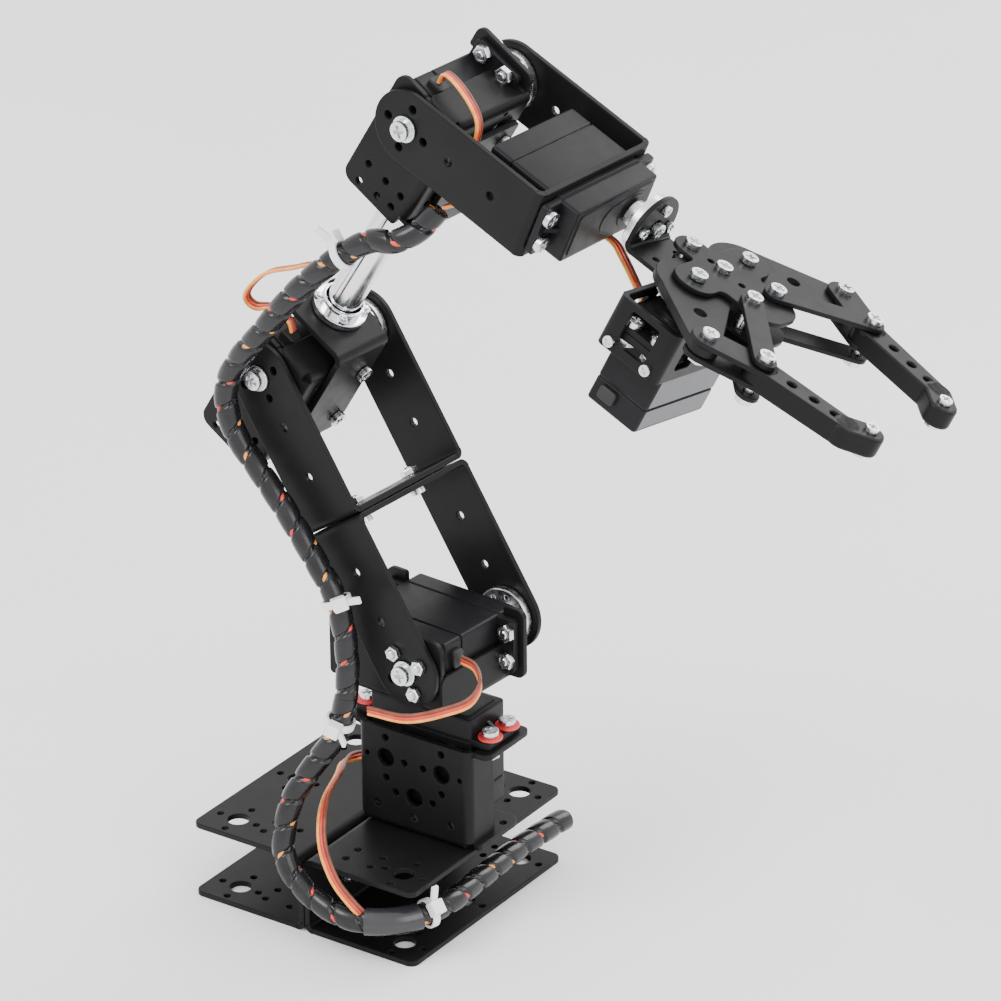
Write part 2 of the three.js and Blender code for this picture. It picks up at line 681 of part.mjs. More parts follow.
function gripper() {
  const { gear, lower, upper, sheet, servoTop } = CLAW;
  const pivot = new THREE.Vector3(gear[0], -gear[1], servoTop - SERVO.height);
  const stack = upper + sheet - servoTop - HORN.lift - HORN.t - GAP;
  const horn = at(servoHorn("gripper_horn", stack, []), 0, 0, SERVO.height);
  const drive = group(servoCase("gripper_servo"), gripperServoFrame(), horn);
  const rollHorn = group(servoHorn("roll_horn", sheet, [0, 90, 180]));
  const whole = group(
    frameAt(rollHorn, new THREE.Vector3(ROLL_HORN_AT, 0, 0), Y, X),
    frameAt(drive, pivot, Y.clone().negate(), Z),
    gripperBase(), gripperTopPlate(),
    piece("gripper_idler_screw", pin(...gear, lower, upper + sheet), STEEL),
    gearLink("gear_link_left", -1), gearLink("gear_link_right", 1),
    innerLink("inner_link_left", -1), innerLink("inner_link_right", 1),
    finger("finger_left", -1), finger("finger_right", 1),
  );
  whole.rotation.x = ROLL;
  return frameAt(group(whole), WRIST.clone().setY(CLAW.centre), HAND, PALM_UP);
}

// ---- Cables -----------------------------------------------------------------------------------

// A point of the arm's own plane: x forward and y along the hinges from the waist axis, z above ground
function armPoint(x, y, z) {
  const point = new THREE.Vector3(x, y + ARM_SIDE, z - WAIST.z);
  return point.applyAxisAngle(Z, YAW).add(WAIST);
}

// A point from the wrist axis: x along the hand, y along the hinges, z up from the hand
function handPoint(x, y, z) {
  const point = WRIST.clone().addScaledVector(HAND, x).addScaledVector(PALM_UP, z);
  return armPoint(point.x, y, point.z + WAIST.z);
}

const toHand = (points) => points.map(([x, y, z]) => handPoint(x, y, z));
const toArm = (points) => points.map(([x, y, z]) => armPoint(x, y, z));
const toWorld = (points) => points.map(([x, y, z]) => new THREE.Vector3(x, y, z));

// The sleeved bundle, from its end in the base to the hand, and the points where it changes body
const BUNDLE = {
  r: 4,
  points: [
    ...toWorld([
      [44, 46, 15], [43.6, 33, 15.5], [43.6, 18, 16], [44.6, -7, 16], [45, -26, 16], [41, -38, 15.5],
      [32, -46.5, 15], [22, -50.5, 15.5], [5.5, -50, 20.2], [-4.3, -48.1, 29.4], [-5, -43.5, 46.2],
      [1.7, -38.5, 61.2], [7.7, -36, 71.1], [12.5, -34.5, 88.4],
    ]),
    ...toArm([
      [2.1, -35, 106.5], [-2.1, -35, 122], [-9.4, -35, 131.9], [-21.3, -35, 146.3], [-33.2, -35, 158.8],
      [-42.6, -35, 168.6], [-46.5, -35, 178.5], [-45.6, -35, 187.5], [-39, -35, 198.5], [-31.4, -35, 207.4],
      [-16.4, -34.5, 225.7], [-3.7, -33, 238.3], [2.6, -31, 243.5], [10.7, -29.3, 249],
      [21.7, -27.8, 251.6], [27.6, -23, 256.1], [31.4, -20, 262],
    ]),
  ],
  parts: {
    base: [0, 11],
    waist: [11, 13],
    shoulder: [13, 16],
    upper_arm: [16, 19],
    elbow: [19, 23],
    forearm: [23, 30],
  },
};

// Separate leads, each a list of points from a servo to the bundle
const LEAD_R = 1.4;
const LEADS = {
  waist_lead: toWorld([
    [-0.9, 6.9, 43.6], [-5, 5.5, 43.8], [-8.5, -6, 46], [-2, -20, 48.6], [2.7, -35, 45.1], [9, -45, 36.6],
    [17, -49.5, 27.5], [25, -51, 21.8],
  ]),
  shoulder_lead: toArm([
    [34.4, -14.8, 102.2], [40, -15.3, 101.5], [44.8, -18.5, 98], [45, -24, 94], [38, -28.7, 90],
    [26, -33.3, 85.6], [10.5, -34.6, 84.2],
  ]),
  elbow_lead: toArm([
    [-34.4, -14.8, 200.9], [-35.2, -15.2, 204.4], [-41, -17, 208.4], [-43.6, -23, 210.5], [-42.5, -28, 216.5],
    [-34, -28.5, 226], [-21, -29, 231.8], [-13.5, -29.3, 234.8],
  ]),
  wrist_lead: toArm([
    [29.1, -14.8, 303], [31.5, -15.2, 306.1], [38.8, -16.5, 303.4], [46.6, -18, 295.2], [46, -18.5, 288.2],
    [39.4, -19, 276.5], [34.6, -19.6, 266.9],
  ]),
  hand_lead: toArm([
    [32.6, -18.6, 262.6], [37.5, -16, 264.5], [45, -10, 265.8], [55, -1, 261.4], [65.5, 8, 257.4],
  ]),
  gripper_lead: toHand([
    [50.4, 8.3, -14.6], [56.5, 11, -15], [63, 11, -14.6], [70, 7, -14], [80, 1.4, -14.4],
    [87.9, -2.2, -16],
  ]),
};

function tube(path, r, steps) {
  const section = new THREE.Shape().setFromPoints(circlePoints(0, 0, r, 8));
  const geometry = new THREE.ExtrudeGeometry(section, { steps, extrudePath: path, bevelEnabled: false });
  return solid(geometry);
}

// The part of a curve between two of its points, pulled in a little at both ends
class Stretch extends THREE.Curve {
  constructor(whole, count, from, to) {
    super();
    this.whole = whole;
    const fine = 40;
    const lengths = whole.getLengths(fine * (count - 1));
    const total = lengths.at(-1);
    const inset = GAP / 2;
    this.start = (lengths[from * fine] + inset) / total;
    this.end = (lengths[to * fine] - inset) / total;
  }
  getPoint(t) {
    return this.whole.getPointAt(this.start + (this.end - this.start) * t);
  }
}

function bundleParts() {
  const { r, points, parts } = BUNDLE;
  const whole = new THREE.CatmullRomCurve3(points, false, "centripetal");
  whole.arcLengthDivisions = 40 * (points.length - 1);
  return Object.entries(parts).map(([name, [from, to]]) => {
    const stretch = new Stretch(whole, points.length, from, to);
    return piece(`cable_${name}`, tube(stretch, r, Math.max(4, 2 * (to - from))), SLEEVE);
  });
}

function leadParts() {
  return Object.entries(LEADS).map(([name, points]) => {
    const path = new THREE.CatmullRomCurve3(points, false, "centripetal");
    return piece(name, tube(path, LEAD_R, 2 * points.length), LEAD_RED);
  });
}

// ---- Assembly ---------------------------------------------------------------------------------

function turntable() {
  const horn = at(servoHorn("waist_horn"), 0, 0, SERVO_ON_TOP + SERVO.height);
  const shoulder = hingeUnit("shoulder", SHOULDER, X);
  const arm = group(shoulder, ...upperArm(), ...forearm(), ...hand(), gripper());
  arm.position.y = ARM_SIDE;
  const whole = group(horn, arm);
  whole.position.copy(WAIST);
  whole.rotation.z = YAW;
  return whole;
}

const standing = [...baseParts(), ...footBolts(), waist()];
const robotArm = group(...standing, turntable(), ...bundleParts(), ...leadParts());
export default robotArm;
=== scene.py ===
"""Looks of a small bolted servo arm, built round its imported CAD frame. Metres, +Z up.

Single shapes are made in millimetres in the frame of their own sub-part and scaled when they are placed.
"""
import json
import math
import random
from types import SimpleNamespace as Sizes

import bmesh
import bpy
from mathutils import Matrix, Vector


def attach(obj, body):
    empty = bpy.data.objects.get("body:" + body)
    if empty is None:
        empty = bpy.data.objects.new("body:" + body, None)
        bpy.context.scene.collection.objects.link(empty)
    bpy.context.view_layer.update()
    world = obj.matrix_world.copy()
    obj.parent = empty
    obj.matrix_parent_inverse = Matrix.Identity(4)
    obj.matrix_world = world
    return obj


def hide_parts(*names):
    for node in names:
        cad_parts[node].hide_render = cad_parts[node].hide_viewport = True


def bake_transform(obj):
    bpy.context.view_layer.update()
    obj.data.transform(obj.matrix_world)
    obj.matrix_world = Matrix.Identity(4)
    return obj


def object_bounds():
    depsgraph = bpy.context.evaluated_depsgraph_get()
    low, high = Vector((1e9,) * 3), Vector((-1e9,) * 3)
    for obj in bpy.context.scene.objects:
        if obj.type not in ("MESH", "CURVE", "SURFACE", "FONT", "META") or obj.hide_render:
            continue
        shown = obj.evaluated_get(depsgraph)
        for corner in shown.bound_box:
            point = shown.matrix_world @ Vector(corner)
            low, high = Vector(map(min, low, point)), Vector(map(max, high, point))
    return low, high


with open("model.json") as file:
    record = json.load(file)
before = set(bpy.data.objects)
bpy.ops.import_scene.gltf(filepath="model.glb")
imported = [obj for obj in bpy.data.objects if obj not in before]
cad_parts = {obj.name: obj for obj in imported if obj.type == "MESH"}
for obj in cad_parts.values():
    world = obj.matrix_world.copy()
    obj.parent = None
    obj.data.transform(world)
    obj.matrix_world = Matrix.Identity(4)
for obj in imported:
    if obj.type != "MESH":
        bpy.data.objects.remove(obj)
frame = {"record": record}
CAD_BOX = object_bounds()
RECORD = frame["record"]
JOINTS = {joint["name"]: joint for joint in RECORD["behaviour"]["joints"]}
MM = 0.001

# ---- Driving dimensions, in millimetres

SHEET = 2.0  # thickness of bent plate
GAP = 0.3  # clearance between sub-parts
EDGE = 0.3  # broken edges of plate
BEND = 3.0  # outer radius of a bend
OVERLAP = BEND - EDGE  # a plate stops this short of the outer corner of its bend

BASE = Sizes(left=46, right=44.5, depth=88, height=28, corner=3, hole_x=34, hole_y=34, hole_r=3.7)
SERVO = Sizes(
    front=10.2, back=30.5, half=10, height=37.2, ear_z=27.3, ear_t=2.5, ear_reach=6.9, screw_x=24.75,
    screw_y=5,
)
SERVO_MID = (SERVO.front - SERVO.back) / 2
EAR_SCREWS = [(SERVO_MID + u * SERVO.screw_x, v * SERVO.screw_y) for u in (-1, 1) for v in (-1, 1)]
BRACKET = Sizes(
    half=22.65, depth=37, face=14.5, half_width=12.5, tab=6.5, wall=14.6,
    pair=11.25, rear_front=12.5, rear_back=35, bearing_r=4.4,
)
SERVO_SEAT = 4.9  # foot of a hinge's servo motor above the rear plate
FILM_T = 0.12  # film on the side of the gripper's servo motor
SERVO_ON_TOP = 10.0  # foot of the waist's servo motor above its rear plate
HORN = Sizes(r=10.2, boss_r=4.6, lift=5.8, t=2.7, screw_r=7.5)
YOKE = Sizes(inner=52, half_width=12.5, reach=53.5, horn_hole_r=4.2)
REAR_Y = -25.0  # outer face of a hinge's rear plate, along the hinge axis
LINK = Sizes(
    low=18, high=80.3, left=-15, right=9.5, foot=42, tube_r=5.8,
    flange_r=9.4, flange_t=2.6, screw_r=7,
)
CLAW = Sizes(
    centre=10.3, flange_r=11.5, lower=-6.5, upper=1.9, sheet=1.6, gear=(101, 15),
    inner=(117.5, 7), link=(23, 25.5), link_z=(-1.4, 1.6), teeth=30, meshing=5,
    tooth=0.9, knuckle=(172, 27.7), tip=(177.5, 22.5), finger=-3.5, servo_top=-10.2,
    spacer=88,
)
FOOT_BOLTS = [(24, 12), (24, -5.5)]  # they hold the waist bracket on the base
WEB_BOLTS = [-24, 24]
ROLL_HORN_AT = YOKE.reach + GAP - SERVO.ear_z + SERVO.height
FLANGE_AT = ROLL_HORN_AT + HORN.lift + HORN.t + GAP


# ---- Camera

def make_camera():
    """Camera at the height and side from which the arm is seen a little from above"""
    azimuth, elevation, roll = math.radians(34.59), math.radians(25.6), math.radians(0.59)
    data = bpy.data.cameras.new("camera")
    data.sensor_width = 36
    data.lens = 204.88
    data.clip_end = 20
    camera = bpy.data.objects.new("camera", data)
    bpy.context.scene.collection.objects.link(camera)
    flat = math.cos(elevation)
    ahead = Vector((-math.sin(azimuth) * flat, math.cos(azimuth) * flat, -math.sin(elevation)))
    camera.location = (0.9936, -1.3671, 0.9510)
    camera.rotation_mode = "QUATERNION"
    level = ahead.to_track_quat("-Z", "Y")
    camera.rotation_quaternion = level @ Matrix.Rotation(-roll, 3, "Z").to_quaternion()
    bpy.context.scene.camera = camera


# ---- Materials

def surface(name, dark, light, rough, metallic=0.0, mottle=45, grain=1800, depth=0.00002, coat=0.0,
            shine=0.5):
    """A finish with mottled colour, uneven gloss and a fine grain"""
    made = bpy.data.materials.new(name)
    made.use_nodes = True
    nodes, links = made.node_tree.nodes, made.node_tree.links
    shader = nodes["Principled BSDF"]
    shader.inputs["Metallic"].default_value = metallic
    shader.inputs["Coat Weight"].default_value = coat
    shader.inputs["Coat Roughness"].default_value = 0.15
    shader.inputs["Specular IOR Level"].default_value = shine
    where = nodes.new("ShaderNodeTexCoord")

    def noise(size, detail):
        node = nodes.new("ShaderNodeTexNoise")
        node.inputs["Scale"].default_value = size
        node.inputs["Detail"].default_value = detail
        links.new(where.outputs["Object"], node.inputs["Vector"])
        return node.outputs["Fac"]

    def between(value, low, high, first, last):
        node = nodes.new("ShaderNodeMapRange")
        for socket, number in zip(("From Min", "From Max", "To Min", "To Max"), (low, high, first, last)):
            node.inputs[socket].default_value = number
        links.new(value, node.inputs["Value"])
        return node.outputs["Result"]

    patches = noise(mottle, 5)
    ramp = nodes.new("ShaderNodeValToRGB")
    ramp.color_ramp.elements[0].position = 0.32
    ramp.color_ramp.elements[0].color = (*dark, 1)
    ramp.color_ramp.elements[1].position = 0.7
    ramp.color_ramp.elements[1].color = (*light, 1)
    links.new(patches, ramp.inputs["Fac"])
    links.new(ramp.outputs["Color"], shader.inputs["Base Color"])
    links.new(between(noise(mottle * 6, 4), 0.3, 0.7, *rough), shader.inputs["Roughness"])
    bump = nodes.new("ShaderNodeBump")
    bump.inputs["Strength"].default_value = 0.6
    bump.inputs["Distance"].default_value = depth
    links.new(noise(grain, 3), bump.inputs["Height"])
    links.new(bump.outputs["Normal"], shader.inputs["Normal"])
    return made


PLATE = surface(
    "satin_black_coating", (0.006, 0.006, 0.0065), (0.009, 0.009, 0.0098), (0.36, 0.42), mottle=35,
    grain=2600, shine=0.12,
)
PLASTIC = surface(
    "moulded_black_plastic", (0.006, 0.006, 0.007), (0.01, 0.01, 0.011), (0.34, 0.42), grain=3500,
    shine=0.14,
)
LABEL = surface(
    "grey_film", (0.036, 0.038, 0.045), (0.046, 0.048, 0.057), (0.16, 0.26), mottle=20, grain=900,
    depth=0.000005, shine=0.35,
)
STEEL = surface(
    "bright_zinc", (0.62, 0.63, 0.65), (0.82, 0.83, 0.84), (0.16, 0.34), metallic=1.0, mottle=220,
    grain=1500, depth=0.00001,
)
HORN_METAL = surface(
    "turned_metal", (0.7, 0.7, 0.72), (0.86, 0.86, 0.88), (0.2, 0.36), metallic=1.0, mottle=90, grain=2200,
    depth=0.00001,
)
POLISHED = surface(
    "polished_tube", (0.82, 0.83, 0.86), (0.92, 0.92, 0.94), (0.1, 0.22), metallic=1.0, mottle=30, grain=700,
    depth=0.000006,
)
# Painted shade: a near-black finish put in seams, openings and gaps to stand for the shade in them
PAINTED_SHADE = surface("painted_recess_shade", (0.004, 0.004, 0.004), (0.008, 0.008, 0.008), (0.5, 0.7))
SLEEVE = surface(
    "spiral_wrap", (0.006, 0.006, 0.007), (0.012, 0.012, 0.014), (0.2, 0.3), mottle=120, grain=1200,
    depth=0.00004, coat=0.15, shine=0.3,
)
SHEATH = surface("dark_tubing", (0.018, 0.018, 0.021), (0.03, 0.03, 0.034), (0.16, 0.24), mottle=90)
TIE = surface("natural_nylon", (0.78, 0.79, 0.8), (0.9, 0.9, 0.9), (0.3, 0.45), mottle=150)
ORANGE = surface("orange_wire", (0.75, 0.24, 0.03), (0.92, 0.4, 0.08), (0.32, 0.45), mottle=300)
RED = surface("red_wire", (0.55, 0.02, 0.015), (0.72, 0.05, 0.03), (0.32, 0.45), mottle=300)
BROWN = surface("brown_wire", (0.13, 0.035, 0.015), (0.22, 0.06, 0.03), (0.32, 0.45), mottle=300)
WASHER_RED = surface("red_fibre_washer", (0.5, 0.015, 0.02), (0.7, 0.04, 0.04), (0.4, 0.55), mottle=400)
WIRES = [ORANGE, RED, BROWN]
BUNDLE_WIRES = [ORANGE, SLEEVE, SLEEVE, RED, SLEEVE, SLEEVE]


# ---- Outlines

def ring(x, y, r, sides=None):
    """Points of a circle"""
    count = sides or (14 if r < 2 else 28 if r < 6 else 56)
    turns = [2 * math.pi * (i + 0.5) / count for i in range(count)]
    return [(x + r * math.cos(a), y + r * math.sin(a)) for a in turns]


def polar(r, degrees):
    """Point at a distance and an angle from the axis"""
    angle = math.radians(degrees)
    return r * math.cos(angle), r * math.sin(angle)


def group(x, y, r, spread=7.5, small=1.3):
    """A large hole with four small ones round it"""
    around = [(spread, 0), (-spread, 0), (0, spread), (0, -spread)]
    return [ring(x, y, r)] + [ring(x + dx, y + dy, small) for dx, dy in around]


def outline(*corners, steps=6):
    """A polygon whose corners (x, y, radius) are rounded"""
    points = []
    for i, (x, y, r) in enumerate(corners):
        here = Vector((x, y))
        if r <= 0:
            points.append((x, y))
            continue
        back = (Vector(corners[i - 1][:2]) - here).normalized()
        ahead = (Vector(corners[(i + 1) % len(corners)][:2]) - here).normalized()
        half = back.angle(ahead) / 2
        centre = here + (back + ahead).normalized() * (r / math.sin(half))
        first = here + back * (r / math.tan(half)) - centre
        last = here + ahead * (r / math.tan(half)) - centre
        sweep = first.angle_signed(last)
        for k in range(steps + 1):
            spoke = Matrix.Rotation(-sweep * k / steps, 2) @ first
            points.append((centre.x + spoke.x, centre.y + spoke.y))
    return points


def slab(x0, y0, x1, y1, r=0.0):
    """A rectangle, with one radius or four from the lower left corner round to the upper left"""
    a, b, c, d = r if isinstance(r, (list, tuple)) else (r,) * 4
    return outline((x0, y0, a), (x1, y0, b), (x1, y1, c), (x0, y1, d))


def taper(p, p_r, q, q_r, steps=18):
    """Outline round two circles and the straight edges between them"""
    (px, py), (qx, qy) = p, q
    heading = math.atan2(qy - py, qx - px)
    spread = math.acos((p_r - q_r) / math.hypot(qx - px, qy - py))
    points = []
    for x, y, r, start, end in (
        (px, py, p_r, heading + spread, heading - spread + 2 * math.pi),
        (qx, qy, q_r, heading - spread, heading + spread),
    ):
        for k in range(steps + 1):
            a = start + (end - start) * k / steps
            points.append((x + r * math.cos(a), y + r * math.sin(a)))
    return points


# ---- Shells

def sheet(edge, z0, z1, holes=(), bevel=EDGE):
    """Flat plate between z0 and z1 with broken edges, also round its holes"""
    curve = bpy.data.curves.new("sheet", "CURVE")
    curve.dimensions = "2D"
    curve.fill_mode = "BOTH"
    curve.extrude = (z1 - z0) / 2 - bevel
    curve.bevel_depth = bevel
    curve.bevel_resolution = 1
    curve.offset = -bevel
    for points in (edge, *holes):
        spline = curve.splines.new("POLY")
        spline.points.add(len(points) - 1)
        for point, (x, y) in zip(spline.points, points):
            point.co = (x, y, 0, 1)
        spline.use_cyclic_u = True
    holder = bpy.data.objects.new("sheet", curve)
    bpy.context.scene.collection.objects.link(holder)
    graph = bpy.context.evaluated_depsgraph_get()
    mesh = bpy.data.meshes.new_from_object(holder.evaluated_get(graph))
    bpy.data.objects.remove(holder)
    bpy.data.curves.remove(curve)
    mesh.materials.clear()
    mesh.transform(Matrix.Translation((0, 0, (z0 + z1) / 2)))
    return mesh


def from_faces(points, faces):
    mesh = bpy.data.meshes.new("shell")
    mesh.from_pydata(points, [], faces)
    return mesh


def lathe(profile, sides=48):
    """Round solid about Z; the profile of (radius, z) runs up from the axis and back to it"""
    points, rows = [], []
    for r, z in profile:
        if r < 1e-6:
            rows.append([len(points)] * sides)
            points.append((0, 0, z))
            continue
        rows.append([len(points) + i for i in range(sides)])
        points += [(r * math.cos(2 * math.pi * i / sides), r * math.sin(2 * math.pi * i / sides), z)
                   for i in range(sides)]
    faces = []
    for lower, upper in zip(rows, rows[1:]):
        for i in range(sides):
            k = (i + 1) % sides
            corners = [lower[i], lower[k], upper[k], upper[i]]
            kept = [c for n, c in enumerate(corners) if c not in corners[:n]]
            if len(kept) > 2:
                faces.append(kept)
    return from_faces(points, faces)


def rod(r, z0, z1, bevel=0.25, sides=48):
    """Cylinder along Z with broken edges"""
    face = r - bevel
    return lathe([(0, z0), (face, z0), (r, z0 + bevel), (r, z1 - bevel), (face, z1), (0, z1)], sides)


def tube(r, bore, z0, z1, bevel=0.25, sides=48):
    """Ring along Z with broken edges"""
    edge = [(2 * math.pi * i / sides) for i in range(sides)]
    circle = [(r * math.cos(a), r * math.sin(a)) for a in edge]
    hole = [(bore * math.cos(a), bore * math.sin(a)) for a in edge]
    return sheet(circle, z0, z1, [hole], bevel)


def bend(start, end, out_a, out_b, steps=8):
    """Rounded corner of two plates along a line on its outer corner; out_a and out_b point outwards"""
    start, end, out_a, out_b = map(Vector, (start, end, out_a, out_b))
    profile = []
    for radius, turns in ((BEND, range(steps + 1)), (BEND - SHEET, range(steps, -1, -1))):
        for k in turns:
            a = math.pi / 2 * k / steps
            profile.append((out_a * math.cos(a) + out_b * math.sin(a)) * radius - BEND * (out_a + out_b))
    count = len(profile)
    points = [start + p for p in profile] + [end + p for p in profile]
    faces = [[i, (i + 1) % count, (i + 1) % count + count, i + count] for i in range(count)]
    for k in range(steps):
        inner = count - 1 - k
        faces.append([k, inner, inner - 1, k + 1])
        faces.append([count + k + 1, count + inner - 1, count + inner, count + k])
    mesh = from_faces(points, faces)
    shell = bmesh.new()
    shell.from_mesh(mesh)
    bmesh.ops.recalc_face_normals(shell, faces=shell.faces)
    shell.to_mesh(mesh)
    shell.free()
    return mesh


def shift(x, y, z):
    return Matrix.Translation((x, y, z))


def turn(degrees, axis):
    return Matrix.Rotation(math.radians(degrees), 4, axis)


STAND_Y = turn(90, "X")  # a plate drawn in x, y comes to stand in x, z
STAND_X = turn(90, "Z") @ turn(90, "X")  # a plate drawn in x, y comes to stand in y, z


def place(origin, x, z):
    """Frame of a sub-part in the row's frame, from millimetres to metres"""
    x, z = x.normalized(), z.normalized()
    axes = Matrix((x, z.cross(x), z)).transposed().to_4x4()
    return Matrix.Translation(origin) @ axes @ Matrix.Scale(MM, 4)


def within(at, origin, x, z):
    """Frame inside another one, in its millimetres"""
    x, z = Vector(x), Vector(z)
    axes = Matrix((x, z.cross(x), z)).transposed().to_4x4()
    return at @ Matrix.Translation(origin) @ axes


class Piece:
    """One visible piece in the making: closed shells, each with its material"""

    def __init__(self, name, at):
        self.name = name
        self.at = at
        self.shells = bmesh.new()
        self.finishes = []

    def add(self, mesh, finish, move=None):
        if finish not in self.finishes:
            self.finishes.append(finish)
        if move is not None:
            mesh.transform(move)
        for polygon in mesh.polygons:
            polygon.material_index = self.finishes.index(finish)
        self.shells.from_mesh(mesh)
        bpy.data.meshes.remove(mesh)

    def plate(self, edge, z0, z1, holes=(), move=None):
        """Flat coated metal"""
        self.add(sheet(edge, z0, z1, holes), PLATE, move)

    def corner(self, start, end, out_a, out_b):
        """Rounded bend between two plates"""
        self.add(bend(start, end, out_a, out_b), PLATE)

    def bolt(self, r, z0, z1, bevel=0.1, sides=20, move=None):
        """Plain shank along Z"""
        self.add(rod(r, z0, z1, bevel, sides), STEEL, move)

    def screw(self, x, y, z, r=2.8, t=1.9, up=1):
        """Pan head with a cross recess, its seat at z"""
        flip = shift(x, y, z) @ (Matrix() if up > 0 else turn(180, "X")) @ turn(random.uniform(0, 90), "Z")
        a, b = r * 0.62, r * 0.16
        cross = [(a, -b), (a, b), (b, b), (b, a), (-b, a), (-b, b)]
        cross += [(-a, b), (-a, -b), (-b, -b), (-b, -a), (b, -a), (b, -b)]
        self.add(sheet(ring(0, 0, r, 28), t * 0.25, t, [cross], 0.18), STEEL, flip)
        self.bolt(r * 0.96, 0, t * 0.45, 0.1, 28, flip)

    def screw_within(self, origin, x, z, seat, r, t):
        """Pan head in a frame of its own inside the piece"""
        spare = Piece("spare", Matrix())
        spare.screw(0, 0, seat, r, t)
        mesh = bpy.data.meshes.new("shell")
        spare.shells.to_mesh(mesh)
        spare.shells.free()
        self.add(mesh, STEEL, within(Matrix(), origin, x, z))

    def nut(self, x, y, z, r=3.1, t=2.2, up=1):
        """Hexagonal nut with the end of its bolt"""
        flip = shift(x, y, z) @ (Matrix() if up > 0 else turn(180, "X")) @ turn(random.uniform(0, 60), "Z")
        self.add(sheet(ring(0, 0, r, 6), 0, t, [ring(0, 0, r * 0.52, 20)], 0.3), STEEL, flip)
        self.bolt(r * 0.48, 0, t + 0.7, 0.3, 20, flip)

    def done(self, body, slot, *nodes, smooth=22):
        """Puts the piece in the scene, on its body, in place of its CAD nodes"""
        mesh = bpy.data.meshes.new(self.name)
        self.shells.to_mesh(mesh)
        self.shells.free()
        mesh.transform(self.at)
        for finish in self.finishes:
            mesh.materials.append(finish)
        mesh.shade_smooth()
        mesh.set_sharp_from_angle(angle=math.radians(smooth))
        piece = bpy.data.objects.new(self.name, mesh)
        bpy.context.scene.collection.objects.link(piece)
        if body:
            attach(piece, body)
        if nodes:
            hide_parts(*nodes)
        return piece


# ---- Frames of the sub-parts

def joint_point(name):
    return Vector(JOINTS[name]["pos_m"])


UP = Vector((0, 0, 1))
SHOULDER, ELBOW, WRIST = map(joint_point, ("shoulder", "elbow", "wrist_pitch"))
HINGE = Vector(JOINTS["shoulder"]["axis"]).normalized()
AHEAD = HINGE.cross(UP)
LIMB = (ELBOW - SHOULDER).normalized()
REACH = (WRIST - ELBOW).normalized()
HAND = Vector(JOINTS["wrist_roll"]["axis"]).normalized()
CLAW_UP = Vector(JOINTS["gripper_drive"]["axis"]).normalized()
REAR = HINGE * REAR_Y * MM
SIDE = HINGE * CLAW.centre * MM

AT_BASE = Matrix.Scale(MM, 4)
AT_WAIST = place(joint_point("base_yaw"), Vector((-1, 0, 0)), UP)
AT_TURNTABLE = place(joint_point("base_yaw") + UP * (SERVO_ON_TOP + SERVO.height) * MM, AHEAD, UP)
AT_SHOULDER = place(SHOULDER + REAR, AHEAD, HINGE)
AT_ELBOW = place(ELBOW + REAR, REACH, HINGE)
AT_WRIST = place(WRIST + REAR, REACH, HINGE)
AT_LOWER_YOKE = place(SHOULDER, LIMB, HINGE)
AT_UPPER_YOKE = place(ELBOW, -LIMB, HINGE)
AT_LINK = place(ELBOW, REACH, HINGE)
AT_PALM = place(WRIST, HAND, HINGE)
AT_ROLL_SERVO = place(WRIST + SIDE + HAND * (YOKE.reach + GAP - SERVO.ear_z) * MM, HINGE, HAND)
AT_CLAW = place(WRIST + SIDE, HAND, CLAW_UP)
DRIVE_FOOT = (CLAW.gear[0], -CLAW.gear[1], CLAW.servo_top - SERVO.height)
AT_DRIVE = within(AT_CLAW, DRIVE_FOOT, (0, -1, 0), (0, 0, 1))
AT_ROLL_HORN = within(AT_CLAW, (ROLL_HORN_AT, 0, 0), (0, 1, 0), (1, 0, 0))


# ---- Repeated sub-parts

